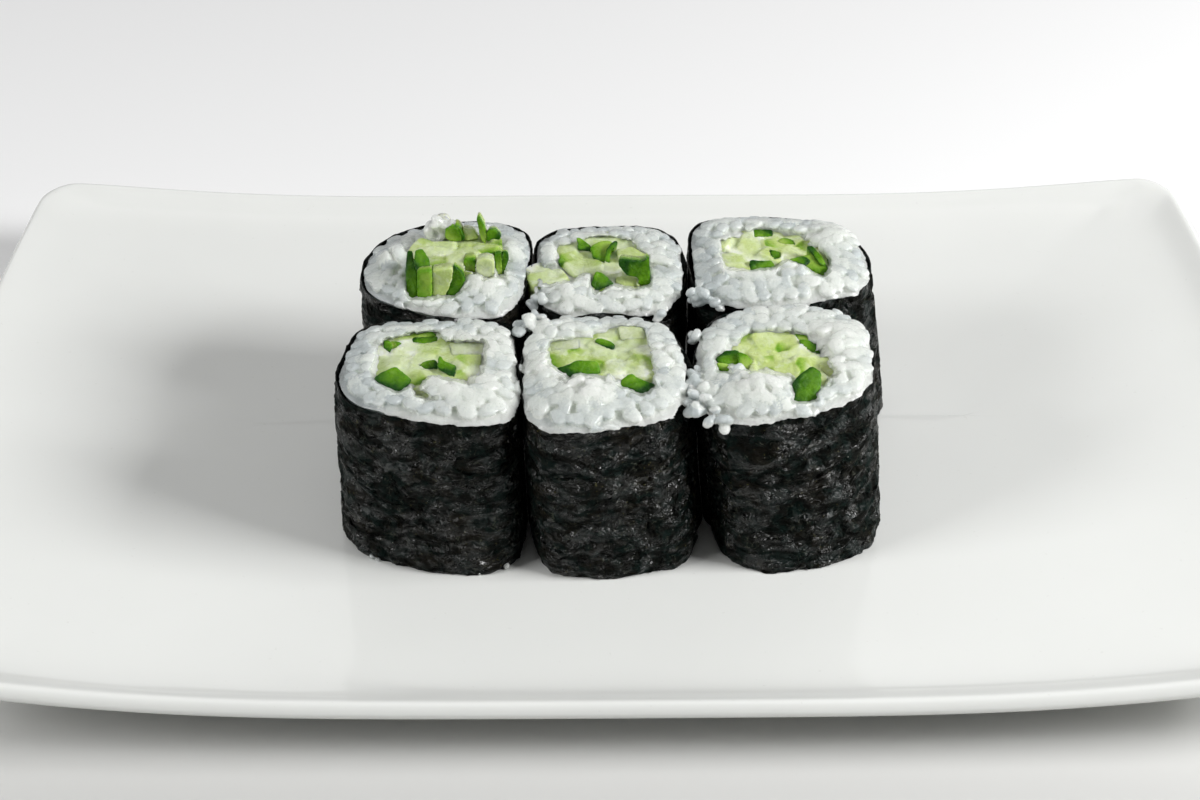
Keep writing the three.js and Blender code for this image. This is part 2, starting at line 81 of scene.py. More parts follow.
# What each roll shows on its cut top, in millimetres from the point 'at'.
# lumps: mounds in the rice at (x, y, height, radius, paleness).
# grey: where thin rice lies flush with the nori, as (direction, spread, strength), in degrees.
# spills: where rice hangs out over the nori, as (direction, spread, reach).
# strays: single grains at (x, y, rise over the rim, heading, pitch).
# crumbs: bits of grain by the foot of the roll at (x, y, rise over the plate, size).
# window: the outline of the bare cucumber.
# flesh: how high the bundle stands over the rim at its front and at its back, and how yellow it is.
# pieces: the faces of sticks that stand out, as (finish, height of the lowest corner, stance, outline), where
# a stance of 0 is a level face and 1 an upright one.
# The windows and the outlines are given where the camera sees them on the level of the rim.
ROLLS = {
    "front_left": {
        "at": (-31.8, -25.6),
        "lumps": [
            (4.4, -7.2, 1.5, 3.4, 1.0), (11.5, 4, 0.5, 4.5, 0.8), (11, -9, 0.7, 4.5, 0.6),
            (8.8, -4.8, 0.9, 1.6, 0.7),
        ],
        "grey": [(150, 60, 0.85), (95, 32, 0.5), (215, 30, 0.5)],
        "spills": [(316, 22, 0.7), (0, 40, 0.3)],
        "strays": [],
        "crumbs": [
            (-9.7, -12.6, 0.5, 0.42), (-8.6, -13.4, 0.3, 0.3), (8.8, -17.0, 0.4, 0.36),
            (13.2, -15.4, 0.6, 0.5),
        ],
        "window": [
            (-8.8, -2.2), (-8.2, 4.2), (-7.0, 7.4), (-2.4, 9.6), (1.8, 9.8), (3.2, 7.0), (9.9, 6.8),
            (10.2, 2), (9.8, -3.2), (8.6, -3.4), (7.4, -5.4), (4.4, -4.2), (2.4, -3.4), (1.4, -2.8),
            (0.2, -4.6), (-0.6, -7.8), (-1.8, -5.6), (-5, -6),
        ],
        "flesh": (0.2, 0.1, 0.35),
        "pieces": [
            ("skin", -0.1, 0.55, [
                (-8.2, -3.8), (-6.9, -2.2), (-4.9, -0.4), (-1.9, -4.3), (-3.6, -7.9), (-6.4, -6.1),
            ]),
            ("skin", -0.1, 0.35, [(-0.9, -0.2), (0.0, 1.0), (1.8, 1.5), (2.5, -1.0), (0.4, -1.3)]),
            ("skin", -0.1, 0.5, [
                (2.3, -1.0), (2.2, 1.0), (2.4, 2.8), (3.3, 0.8), (5.2, -0.2), (5.2, -3.5), (4.2, -3.3),
                (3.4, -1.9),
            ]),
            ("skin", -0.1, 0.3, [(-2.5, 6.6), (-2.4, 8.1), (0.0, 8.0), (1.8, 8.4), (1.9, 6.8), (-0.4, 6.2)]),
            ("rind", 0.2, 0.2, [(-2.4, 8.1), (-1.0, 9.0), (0.6, 10.0), (1.7, 8.5), (0.0, 7.9)]),
            ("skin", -0.1, 0.4, [(-7.3, 7.4), (-6.1, 7.0), (-5.8, 5.2), (-6.0, 3.4), (-7.1, 5.0)]),
            ("rind", 0.0, 0.2, [(-6.2, 7.0), (-4.2, 6.6), (-5.0, 5.0), (-6.0, 4.4)]),
            ("flesh", -0.1, 0.4, [
                (-1.6, -6.5), (-0.5, -6.5), (1.4, -8.7), (3.2, -10.2), (1.0, -9.4), (-0.9, -8.6),
            ]),
            ("pale", 0.15, 0.1, [(3.8, 6.5), (9.8, 6.3), (9.6, 3.0), (4.4, 2.8)]),
        ],
    },
    "front_middle": {
        "at": (-1.9, -27.0),
        "lumps": [
            (-2.6, -8.8, 1.9, 4.4, 1.0), (-10, -2, 0.9, 3.5, 0.9), (-8, 10, 0.4, 4, 0.5),
            (10.2, 2, 0.9, 3.0, 0.8), (7, -11, 0.3, 4, 0.2),
        ],
        "grey": [(92, 45, 0.7), (205, 30, 0.35), (250, 26, 0.25)],
        "spills": [(240, 26, 0.7), (300, 30, 0.3), (180, 30, 0.5)],
        "strays": [
            (-13.2, 12.0, 0.2, 40, 10), (-12.2, 13.6, 0.5, 110, 5), (-14.2, 10.2, 0.0, 80, -10),
            (-12.4, 10.6, 0.9, 150, 15), (-11.0, 12.2, 1.0, 20, 20), (-13.4, 13.8, -0.3, 60, 0),
            (14.2, -6.4, -0.2, 100, 10), (13.6, -8.6, 0.0, 30, 0),
        ],
        "window": [
            (-9.4, 1.0), (-9.0, 7.6), (-4.0, 8.2), (-0.4, 9.6), (2.6, 11.8), (6.6, 11.6), (7.6, 6.0),
            (8.2, 0), (8.4, -5), (4, -4.5), (1.6, -3.6), (0.6, -1.8), (-0.8, -2.2), (-2.4, -2.6),
            (-3.4, -1.6), (-4.6, -1.8), (-5.4, -3.2), (-7.8, -1.2),
        ],
        "flesh": (0.2, 0.3, 0.3),
        "pieces": [
            ("skin", -0.1, 0.5, [
                (-7.9, -0.3), (-6.0, 0.5), (-4.6, 1.8), (-1.3, 1.7), (-0.8, 0.0), (-0.6, -1.9),
                (-2.4, -2.7), (-3.6, -1.5), (-4.8, -1.9), (-5.4, -3.4), (-6.8, -1.6),
            ]),
            ("skin", -0.1, 0.4, [(-7.9, -2.6), (-7.0, -2.3), (-5.9, -4.2), (-6.6, -4.4), (-7.2, -3.4)]),
            ("skin", -0.1, 0.5, [
                (4.5, -1.9), (5.6, -3.4), (8.5, -5.2), (7.2, -7.0), (5.9, -8.1), (4.4, -6.1), (2.3, -5.4),
                (3.0, -3.6),
            ]),
            ("skin", 0.0, 0.35, [
                (-1.4, 8.0), (-0.4, 8.4), (1.0, 7.4), (1.9, 6.6), (1.6, 4.8), (0.4, 5.5), (-1.2, 7.0),
            ]),
            ("pale", 0.5, 0.3, [(2.6, 12.0), (6.7, 11.4), (7.2, 8.2), (3.0, 8.0)]),
            ("pale", 0.1, 0.1, [(-9.2, 7.4), (-4.2, 8.2), (-4.0, 5.4), (-9.0, 4.6)]),
        ],
    },
    "front_right": {
        "at": (28.9, -24.4),
        "lumps": [
            (-5, -9.5, 1.9, 4.2, 0.9), (8.8, 4, 1.2, 4.4, 1.0), (9.5, -5, 0.5, 4, 0.5),
            (-13, 3, 0.6, 3, 0.5), (0, 12, 0.4, 5, 0.3),
        ],
        "grey": [(180, 30, 0.4), (0, 20, 0.2)],
        "spills": [(226, 30, 1.0), (185, 20, 0.5)],
        "strays": [
            (-8.2, -5.0, 1.6, 95, 62), (-15.9, -7.0, -0.3, 80, 0), (-14.6, -9.3, 0.2, 30, 15),
            (-16.0, -11.2, -0.5, 100, -10), (-14.2, -12.9, 0.0, 160, 0), (-13.0, -15.0, -0.3, 20, -15),
            (-11.6, -16.4, -1.0, 70, -30), (-15.4, -13.6, -0.9, 45, -20), (-16.8, -8.8, -0.9, 60, 0),
            (-15.0, -4.6, 0.0, 120, 10), (-16.4, -13.2, -0.5, 140, 20), (-15.2, 6.4, -0.2, 70, 10),
        ],
        "window": [
            (-9.0, 2.0), (-7.4, 6.4), (-5.0, 7.8), (1.4, 8.0), (3.6, 7.0), (5.4, 4.6), (5.8, 1.0),
            (7.2, -2.0), (8.2, -4.4), (6.4, -5.4), (5.2, -7.8), (0.6, -6.4), (0, -4.4), (-2.0, -4.6),
            (-4.6, -3.6), (-6.6, -3.8), (-7.2, -1.2), (-9.0, -1.0),
        ],
        "flesh": (0.3, 0.4, 1.0),
        "pieces": [
            ("skin", -0.1, 0.45, [
                (-12.0, 0.4), (-10.4, 2.3), (-8.5, 2.7), (-7.6, 1.2), (-8.6, -1.6), (-10.6, -1.3),
                (-11.9, -0.9),
            ]),
            ("rind", -0.1, 0.45, [
                (-8.2, 2.2), (-6.7, 1.2), (-6.0, -0.8), (-6.8, -3.4), (-8.2, -2.2), (-8.2, 0.0),
            ]),
            ("rind", -0.1, 0.5, [(-12.0, -1.0), (-10.2, -1.3), (-9.8, -3.9), (-11.7, -3.6)]),
            ("skin", 0.1, 0.3, [(2.2, 5.6), (3.4, 5.8), (5.3, 4.2), (5.6, 1.2), (4.0, 1.8), (3.0, 3.6)]),
            ("rind", 0.4, 0.2, [(1.6, 7.4), (3.6, 6.9), (4.0, 5.4), (2.4, 5.0)]),
            ("skin", -0.1, 0.55, [
                (3.9, -2.1), (5.1, -3.8), (5.0, -6.2), (4.4, -9.0), (3.7, -9.7), (3.9, -11.2), (2.0, -12.3),
                (-0.3, -12.2), (0.5, -9.6), (0.1, -7.2), (1.6, -4.6),
            ]),
            ("flesh", 0.1, 0.2, [(5.2, -1.4), (8.2, -4.3), (6.4, -5.3), (5.2, -3.6)]),
        ],
    },
    "back_left": {
        "at": (-29.8, 5.9),
        "lumps": [
            (7.6, -8.4, 1.6, 4.2, 0.9), (12, 2, 1.0, 3, 0.7), (-8.9, -0.5, 1.9, 2.6, 0.5),
            (-1.0, 4.2, 0.0, 2.6, 1.0), (-3, -14, 0.4, 4, 0.6), (-11, -9, -0.2, 4, 0.4),
        ],
        "grey": [(140, 90, 1.0), (50, 55, 0.9), (0, 30, 0.5), (200, 40, 0.6)],
        "spills": [(280, 40, 0.4)],
        "strays": [
            (-2.7, 4.0, 1.6, 80, 40), (-2.6, 4.0, 3.6, 100, 70), (-1.9, 4.1, 5.3, 60, 45),
            (-0.6, 4.1, 5.6, 20, 10), (0.5, 4.0, 4.8, 80, 60), (-3.3, 3.4, 0.8, 30, 10),
            (0.8, 3.9, 3.0, 100, 60), (-0.9, 3.9, 1.4, 0, 10), (-1.0, 3.6, 3.4, 40, 30),
            (-0.2, 3.6, 2.2, 90, 20), (-1.9, 3.6, 2.4, 120, 30),
        ],
        "window": [
            (-5.2, 6.3), (-3.4, 10.2), (1.0, 10.8), (5.7, 10.8), (10.4, 9.2), (10.8, 3.0), (9.2, 0.0),
            (5.6, -0.2), (5.1, -3.0), (1.4, -2.1), (-2.3, -2.7), (-4.6, -2.6), (-5.4, 1.0),
        ],
        "flesh": (4.3, 2.2, 0.55),
        "pieces": [
            ("skin", -0.6, 0.62, [
                (-7.1, 4.0), (-6.3, 4.1), (-5.6, 0.4), (-5.1, -2.7), (-4.6, -7.8), (-4.5, -11.4),
                (-5.7, -11.8), (-6.4, -9.7), (-7.0, -2.4),
            ]),
            ("skin", 4.2, 0.5, [
                (-5.7, 4.2), (-4.4, 4.7), (-3.1, 1.0), (-2.6, -2.7), (-5.0, -3.0), (-5.6, 0.4),
            ]),
            ("rind", -0.4, 0.97, [(-4.9, -3.0), (-2.4, -2.7), (-1.8, -11.0), (-3.4, -11.6), (-4.4, -11.2)]),
            ("flesh", -0.4, 0.97, [(-2.3, -2.7), (1.4, -2.1), (1.2, -6.5), (0.5, -10.6), (-1.7, -11.1)]),
            ("skin", -0.4, 0.9, [
                (1.4, -1.1), (3.0, -3.1), (3.7, -5.7), (3.2, -8.4), (2.2, -10.8), (0.5, -10.8), (1.2, -6.5),
            ]),
            ("rind", 3.0, 0.95, [
                (-0.6, 10.9), (0.7, 12.3), (1.8, 10.9), (2.6, 7.3), (1.0, 6.9), (-0.4, 8.0),
            ]),
            ("skin", 3.0, 0.95, [(1.0, 12.5), (2.0, 11.6), (3.1, 8.0), (2.5, 6.9), (1.8, 9.8)]),
            ("rind", 2.6, 0.9, [
                (4.9, 15.0), (5.6, 15.2), (6.4, 12.3), (7.1, 8.3), (6.9, 6.0), (6.2, 6.9), (5.6, 10.8),
            ]),
            ("skin", 3.2, 0.8, [
                (6.9, 9.4), (7.3, 11.1), (8.5, 11.3), (9.6, 9.0), (9.3, 7.4), (8.1, 8.1), (7.3, 6.7),
            ]),
            ("flesh", 3.0, 0.8, [(2.5, 11.8), (4.6, 11.0), (5.6, 8.0), (3.2, 7.3)]),
            ("rind", 0.2, 0.8, [(8.7, 3.3), (9.8, 3.6), (10.2, -4.7), (9.4, -4.9), (8.8, 0.2)]),
            ("skin", 0.2, 0.8, [(9.9, 3.6), (11.0, 3.3), (11.1, 0.8), (10.3, -4.8)]),
            ("pale", 1.4, 0.95, [(5.5, 0.4), (7.0, 1.1), (8.6, 0.4), (8.8, -4.7), (7.4, -5.3), (5.7, -3.3)]),
            ("rind", 2.0, 0.95, [(3.2, 0.8), (5.3, 1.0), (5.5, -3.3), (4.8, -3.3), (3.4, -2.8)]),
            ("cream", 2.2, 0.9, [
                (-3.2, 12.4), (-2.6, 14.4), (-1.3, 15.2), (-0.2, 14.3), (0.5, 12.0), (1.0, 9.8), (0.8, 7.2),
                (-3.0, 7.0),
            ]),
        ],
    },
    "back_middle": {
        "at": (-0.9, 5.1),
        "lumps": [
            (-6.5, -10.5, 1.0, 4.5, 0.5), (3, -11, 0.8, 5, 0.4), (10.5, 2, 0.4, 4, 0.5),
            (-9.5, 4, 0.2, 3, 0.7),
        ],
        "grey": [(118, 65, 0.8), (0, 30, 0.3), (40, 30, 0.4), (200, 30, 0.7)],
        "spills": [(250, 40, 0.2), (300, 25, 0.4)],
        "strays": [(9.0, -14.2, -0.9, 60, -30), (-11.8, -11.2, -0.5, 110, 0), (-11.4, -8.6, -0.3, 80, 0)],
        "window": [
            (-12.4, 0.0), (-9.0, 0.6), (-8.4, 6.6), (-5.4, 7.6), (-2.0, 10.4), (1.6, 9.6), (4.6, 8.4),
            (5.4, 5.6), (7.4, 3.4), (7.4, -6.2), (5.2, -7.4), (2.6, -7.0), (1.0, -6.0), (-0.6, -7.2),
            (-2.2, -8.6), (-3.0, -6.0), (-3.2, -2.2), (-4.6, -2.6), (-6.4, -5.2), (-9.4, -5.2),
            (-10.4, -6.8), (-12, -4),
        ],
        "flesh": (0.3, 0.5, 0.3),
        "pieces": [
            ("skin", 0.2, 0.6, [
                (-5.6, 9.6), (-5.0, 9.6), (-3.2, 7.0), (-2.3, 3.8), (-3.5, 5.2), (-5.4, 5.6), (-5.2, 7.4),
            ]),
            ("rind", 0.2, 0.4, [
                (-3.0, 6.8), (-1.0, 8.4), (0.6, 8.6), (1.4, 6.4), (0.0, 4.0), (-0.6, 0.8), (-2.6, 3.0),
            ]),
            ("skin", 0.5, 0.5, [
                (1.7, 8.7), (1.9, 7.6), (0.7, 5.4), (0.3, 0.8), (-0.6, 1.8), (0.0, 5.8), (0.9, 8.0),
            ]),
            ("skin", -0.1, 0.6, [
                (-2.0, -1.6), (-0.7, -2.6), (0.2, -4.4), (1.0, -5.6), (-0.6, -7.1), (-2.2, -8.5),
                (-3.0, -6.0), (-2.5, -3.2),
            ]),
            ("flesh", 1.4, 0.1, [(1.7, 5.6), (4.2, 6.6), (7.3, 3.4), (6.6, 1.3), (2.1, 2.2)]),
            ("skin", -0.1, 0.9, [
                (2.0, 2.2), (6.5, 1.3), (7.4, 3.0), (7.5, -6.0), (5.4, -6.8), (5.3, -3.6), (3.4, -3.2),
                (2.1, 0.0),
            ]),
            ("flesh", -0.1, 0.4, [
                (1.4, -3.6), (3.4, -3.2), (5.2, -4.2), (5.2, -7.0), (3.0, -6.6), (1.2, -5.4),
            ]),
        ],
    },
    "back_right": {
        "at": (30.6, 7.6),
        "lumps": [
            (1.4, -7.6, 1.8, 3.0, 0.4), (-4.5, -8.4, 1.3, 3.2, 0.4), (-9.6, -6.8, 1.2, 2.2, 0.8),
            (6, -11, 0.7, 4, 0.4), (10, 4, 1.0, 4.5, 0.7),
        ],
        "grey": [(168, 48, 0.8), (95, 45, 0.6), (0, 18, 0.3), (205, 25, 0.5)],
        "spills": [(270, 60, 0.3), (225, 20, 0.5)],
        "strays": [
            (-16.4, -12.2, 0.0, 20, 0), (-14.6, -14.0, -0.2, 150, -10), (-15.6, -13.4, -0.8, 170, -10),
            (-12.6, -15.0, -0.4, 20, 0),
        ],
        "window": [
            (-11.4, 0), (-10.8, 4.2), (-6.8, 6.6), (-5.0, 8.2), (-1.2, 8.4), (1.0, 7.2), (3.8, 6.6),
            (5.8, 2.6), (7.6, -2.0), (7.8, -5), (6.8, -8.0), (5.0, -6.2), (3.6, -4.2), (1.6, -2.2),
            (0.2, -2.2), (-1.4, -4.4), (-3.6, -4.8), (-6.2, -5.4), (-8.4, -5.0), (-10.6, -4.6),
        ],
        "flesh": (0.3, 0.4, 0.9),
        "pieces": [
            ("skin", 0.0, 0.3, [
                (-4.8, 8.4), (-3.0, 8.2), (-1.4, 8.3), (-1.5, 6.0), (-3.0, 5.7), (-4.9, 5.6),
            ]),
            ("rind", 0.1, 0.3, [(-0.9, 4.2), (0.4, 5.6), (2.2, 4.6), (2.4, 3.0), (0.4, 3.2)]),
            ("skin", -0.1, 0.4, [
                (-2.4, 1.5), (-1.5, 1.2), (-0.4, 0.4), (-0.6, -1.4), (-1.8, -1.9), (-2.6, 0.0),
            ]),
            ("skin", -0.1, 0.6, [
                (-6.1, -1.9), (-4.0, -2.4), (-2.3, -2.1), (-1.8, -4.4), (-3.5, -4.8), (-5.2, -4.8),
                (-6.4, -6.0),
            ]),
            ("rind", -0.1, 0.4, [
                (1.0, -2.0), (2.8, -1.0), (4.8, -0.2), (5.4, 2.4), (6.6, -1.2), (7.2, -3.4), (7.7, -5.0),
                (6.7, -8.0), (5.2, -6.4), (3.4, -3.6),
            ]),
            ("skin", 1.25, 0.4, [(4.4, 2.6), (5.4, 2.7), (6.8, -1.0), (7.3, -3.6), (6.4, -3.6), (5.6, -0.8)]),
            ("skin", 1.1, 0.4, [
                (0.8, -1.9), (2.8, -0.9), (4.0, -1.0), (4.6, -2.4), (3.6, -3.9), (2.6, -2.8),
            ]),
            ("skin", 0.0, 0.3, [(7.6, -1.4), (8.3, -1.5), (8.0, -4.2), (7.5, -3.4)]),
        ],
    },
}


class MakiSizes(bpy.types.PropertyGroup):
    """The sizes that a user would change"""

    nori_thickness: FloatProperty(
        name="Nori thickness", description="Thickness of the seaweed", default=0.00032, unit="LENGTH"
    )
    nori_folds: FloatProperty(
        name="Nori folds", description="Depth of the folds", default=0.0006, unit="LENGTH"
    )
    grain_length: FloatProperty(
        name="Grain length", description="Length of a cooked grain", default=0.0035, unit="LENGTH"
    )
    grain_width: FloatProperty(
        name="Grain width", description="Width of a cooked grain", default=0.0024, unit="LENGTH"
    )
    grain_spacing: FloatProperty(
        name="Grain spacing", description="Least distance between grains", default=0.0021, unit="LENGTH"
    )
    rice_dome: FloatProperty(
        name="Rice dome", description="How far the rice swells over the nori", default=0.0008, unit="LENGTH"
    )
    stick_width: FloatProperty(
        name="Stick width", description="Width of a cucumber stick", default=0.0034, unit="LENGTH"
    )


class MakiColours(bpy.types.PropertyGroup):
    """The colours that a user would change"""

    rice: FloatVectorProperty(
        name="Rice", description="White of the cooked rice", subtype="COLOR", default=(0.72, 0.755, 0.705)
    )
    rice_clump: FloatVectorProperty(
        name="Chalky rice",
        description="White of the broken grains",
        subtype="COLOR",
        default=(0.80, 0.815, 0.775),
    )
    rice_edge: FloatVectorProperty(
        name="Rice by the nori",
        description="Where dark seaweed shows through",
        subtype="COLOR",
        default=(0.49, 0.535, 0.535),
    )
    nori: FloatVectorProperty(
        name="Nori", description="Seaweed", subtype="COLOR", default=(0.0032, 0.0036, 0.0026)
    )
    flesh: FloatVectorProperty(
        name="Flesh", description="Cucumber flesh", subtype="COLOR", default=(0.50, 0.60, 0.29)
    )
    skin: FloatVectorProperty(
        name="Skin", description="Cucumber skin", subtype="COLOR", default=(0.005, 0.052, 0.001)
    )
    porcelain: FloatVectorProperty(
        name="Porcelain", description="White glaze", subtype="COLOR", default=(0.80, 0.81, 0.785)
    )


# ---------------------------------------------------------------- node trees


class Socket:
    """A node's output that can be used in arithmetic: each operation adds a Math node."""

    def __init__(self, tree, output):
        self.tree = tree
        self.output = output

    def of(self, name):
        """Another output of the same node."""
        return Socket(self.tree, self.output.node.outputs[name])

    def _math(self, operation, first, second):
        return self.tree.add("ShaderNodeMath", {"operation": operation}, i0=first, i1=second)

    def __add__(self, other):
        return self._math("ADD", self, other)

    def __radd__(self, other):
        return self._math("ADD", other, self)

    def __sub__(self, other):
        return self._math("SUBTRACT", self, other)

    def __rsub__(self, other):
        return self._math("SUBTRACT", other, self)

    def __mul__(self, other):
        return self._math("MULTIPLY", self, other)

    def __rmul__(self, other):
        return self._math("MULTIPLY", other, self)


def set_stops(ramp, stops):
    """Gives a colour ramp its stops, each a place and a colour."""
    while len(ramp.elements) < len(stops):
        ramp.elements.new(0.5)
    for element, (place, colour) in zip(ramp.elements, stops):
        element.position = place
        element.color = (*colour, 1)


class Tree:
    """A node tree, with one method that adds any node."""

    def __init__(self, tree):
        self.nodes = tree.nodes
        self.links = tree.links

    def feed(self, socket, value):
        """Links a socket to an output, or to each of a list of outputs, or sets its constant."""
        for item in value if isinstance(value, list) else [value]:
            if isinstance(item, Socket):
                self.links.new(item.output, socket)
            else:
                socket.default_value = item

    def add(self, kind, settings=None, output=0, **inputs):
        """Adds a node and returns one of its outputs.

        Settings are the node's own, such as an operation or a ramp's stops. Inputs are named by socket, with
        _ for a space, or by number, as in i2.
        """
        node = self.nodes.new(kind)
        for name, value in (settings or {}).items():
            if name == "stops":
                set_stops(node.color_ramp, value)
            else:
                setattr(node, name, value)
        for name, value in inputs.items():
            key = int(name[1:]) if name[1:].isdigit() else name.replace("_", " ")
            self.feed(node.inputs[key], value)
        return Socket(self, node.outputs[output]) if node.outputs else None


class Shader(Tree):
    """A material's node tree."""

    def __init__(self, name):
        self.material = bpy.data.materials.new(name)
        self.material.use_nodes = True
        super().__init__(self.material.node_tree)
        self.nodes.clear()

    def position(self, scale=(1 / MM, 1 / MM, 1 / MM)):
        """Object coordinates in millimetres, stretched by a scale."""
        coordinates = self.add("ShaderNodeTexCoord", output=3)
        return self.add("ShaderNodeMapping", Vector=coordinates, Scale=scale)

    def noise(self, size, detail=2.0, roughness=0.5, stretch=(1, 1, 1), distortion=0.0):
        """Noise from 0 to 1 with features of a size in millimetres."""
        return self.add(
            "ShaderNodeTexNoise",
            Vector=self.position(tuple(1 / MM / size / s for s in stretch)),
            Scale=1.0,
            Detail=detail,
            Roughness=roughness,
            Distortion=distortion,
        )

    def ramp(self, value, stops):
        """Maps a value to a colour; stops are (place, colour)."""
        return self.add("ShaderNodeValToRGB", {"stops": stops}, Fac=value)

    def mix(self, factor, first, second):
        """Mixes two colours."""
        first, second = (colour if isinstance(colour, Socket) else (*colour, 1) for colour in (first, second))
        return self.add("ShaderNodeMix", {"data_type": "RGBA"}, output=2, i0=factor, i6=first, i7=second)

    def smooth(self, value, low, high):
        """0 under low and 1 over high, with a soft change between them."""
        kind = {"interpolation_type": "SMOOTHSTEP"}
        return self.add("ShaderNodeMapRange", kind, Value=value, From_Min=low, From_Max=high)

    def attribute(self, name):
        """A number stored on the mesh."""
        return self.add("ShaderNodeAttribute", {"attribute_name": name}, output=2)

    def bump(self, height, depth, under=None):
        """A bump of a depth in millimetres, laid over another one."""
        under = {"Normal": under} if under else {}
        return self.add("ShaderNodeBump", Height=height, Distance=depth * MM, Strength=1.0, **under)

    def finish(self, surface=None, **inputs):
        """Adds the Principled shader, unless a surface is given, and the output, and returns the material."""
        surface = surface or self.add("ShaderNodeBsdfPrincipled", **inputs)
        self.add("ShaderNodeOutputMaterial", Surface=surface)
        return self.material


# ---------------------------------------------------------------- mesh helpers


def mesh_object(name, points, faces):
    """An object from points in millimetres and faces."""
    mesh = bpy.data.meshes.new(name)
    mesh.from_pydata((np.asarray(points) * MM).tolist(), [], [tuple(map(int, f)) for f in faces])
    mesh.validate()
    mesh.shade_smooth()
    piece = bpy.data.objects.new(name, mesh)
    bpy.context.scene.collection.objects.link(piece)
    return piece


def set_attribute(piece, name, values):
    """Stores a number on each point of a mesh."""
    attribute = piece.data.attributes.new(name, "FLOAT", "POINT")
    attribute.data.foreach_set("value", np.asarray(values, np.float32))


def points_of(piece):
    """A mesh's points in millimetres."""
    flat = np.empty(len(piece.data.vertices) * 3, np.float32)
    piece.data.vertices.foreach_get("co", flat)
    return flat.reshape(-1, 3) / MM


def faces_of(piece):
    """A mesh's faces, each as the numbers of its points."""
    return [tuple(face.vertices) for face in piece.data.polygons]


def move_points(piece, points):
    """Puts a mesh's points in new places, in millimetres."""
    piece.data.vertices.foreach_set("co", (points * MM).astype(np.float32).ravel())


def ring_faces(rows, columns, first=0, closed=True):
    """Faces between rings of points, each of a number of columns; closed joins the last ring to the first."""
    faces = []
    for row in range(rows if closed else rows - 1):
        for column in range(columns):
            following = (column + 1) % columns
            low = first + row * columns
            high = first + ((row + 1) % rows) * columns
            faces.append((low + column, low + following, high + following, high + column))
    return faces


def tube_faces(rows, columns):
    """Faces between rings of points, from the lowest to the highest, with a cap on each end."""
    last = (rows - 1) * columns
    caps = [tuple(range(last, last + columns)), tuple(reversed(range(columns)))]
    return ring_faces(rows, columns, closed=False) + caps


def gathered(parts):
    """One list of points and one of faces from several."""
    points, faces, first = [], [], 0
    for part, part_faces in parts:
        points.append(part)
        faces += [tuple(first + corner for corner in face) for face in part_faces]
        first += len(part)
    return np.concatenate(points), faces


def converted(piece):
    """The piece with its modifiers applied to a plain mesh."""
    depsgraph = bpy.context.evaluated_depsgraph_get()
    mesh = bpy.data.meshes.new_from_object(piece.evaluated_get(depsgraph))
    piece.modifiers.clear()
    old = piece.data
    piece.data = mesh
    bpy.data.meshes.remove(old)
    return piece


def joined(name, pieces):
    """One object from several."""
    with bpy.context.temp_override(active_object=pieces[0], selected_editable_objects=pieces):
        bpy.ops.object.join()
    pieces[0].name = pieces[0].data.name = name
    return pieces[0]


def clung(piece, voxel, rounds):
    """The piece with its parts grown together by a remesh, of a voxel in millimetres, and smoothed."""
    clinging = piece.modifiers.new("cling", "REMESH")
    clinging.mode = "VOXEL"
    clinging.voxel_size = voxel * MM
    softened = piece.modifiers.new("soften", "SMOOTH")
    softened.factor = 0.5
    softened.iterations = rounds
    return converted(piece)


def without_specks(piece, least=60):
    """Takes out the bits of a mesh that hang free and have fewer than a number of points."""
    shape = bmesh.new()
    shape.from_mesh(piece.data)
    unseen, specks = set(shape.verts), []
    while unseen:
        island, border = [], [unseen.pop()]
        while border:
            island.append(border.pop())
            for edge in island[-1].link_edges:
                other = edge.other_vert(island[-1])
                if other in unseen:
                    unseen.remove(other)
                    border.append(other)
        specks += island if len(island) < least else []
    bmesh.ops.delete(shape, geom=specks, context="VERTS")
    shape.to_mesh(piece.data)
    shape.free()


def paint(piece, material):
    """Gives a piece its one material."""
    piece.data.materials.clear()
    piece.data.materials.append(material)


def settle(piece, node):
    """Lets a finished piece stand for its CAD node and ride on the body."""
    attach(piece, "root")
    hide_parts(node)


def waves(points, size, seed, octaves=2):
    """Smooth noise from about -1 to 1 at each point, with features of a size in millimetres."""
    offset = Vector((seed * 17.3, seed * 5.1, seed * 9.7))
    return np.array([noise.fractal(Vector(p) / size + offset, 1.0, 2.0, octaves) for p in points])


def ridges(points, size, seed):
    """Noise from 0 to about 1 with sharp crests, as in crumpled paper."""
    offset = Vector((seed * 7.7, seed * 3.9, seed * 11.3))
    return np.array([1 - abs(noise.noise(Vector(p) / size + offset)) * 2.2 for p in points])


# ---------------------------------------------------------------- shapes read from the frame


ROLL_RADIUS = 14  # mm, about a roll's, where noise that runs round one is read


def around(count):
    """Evenly spaced directions round a circle."""
    return np.linspace(0, FULL_TURN, count + 1)[:-1]


def steps(angles):
    """Level steps, one long, in some directions."""
    return np.column_stack([np.cos(angles), np.sin(angles), np.zeros(len(angles))])


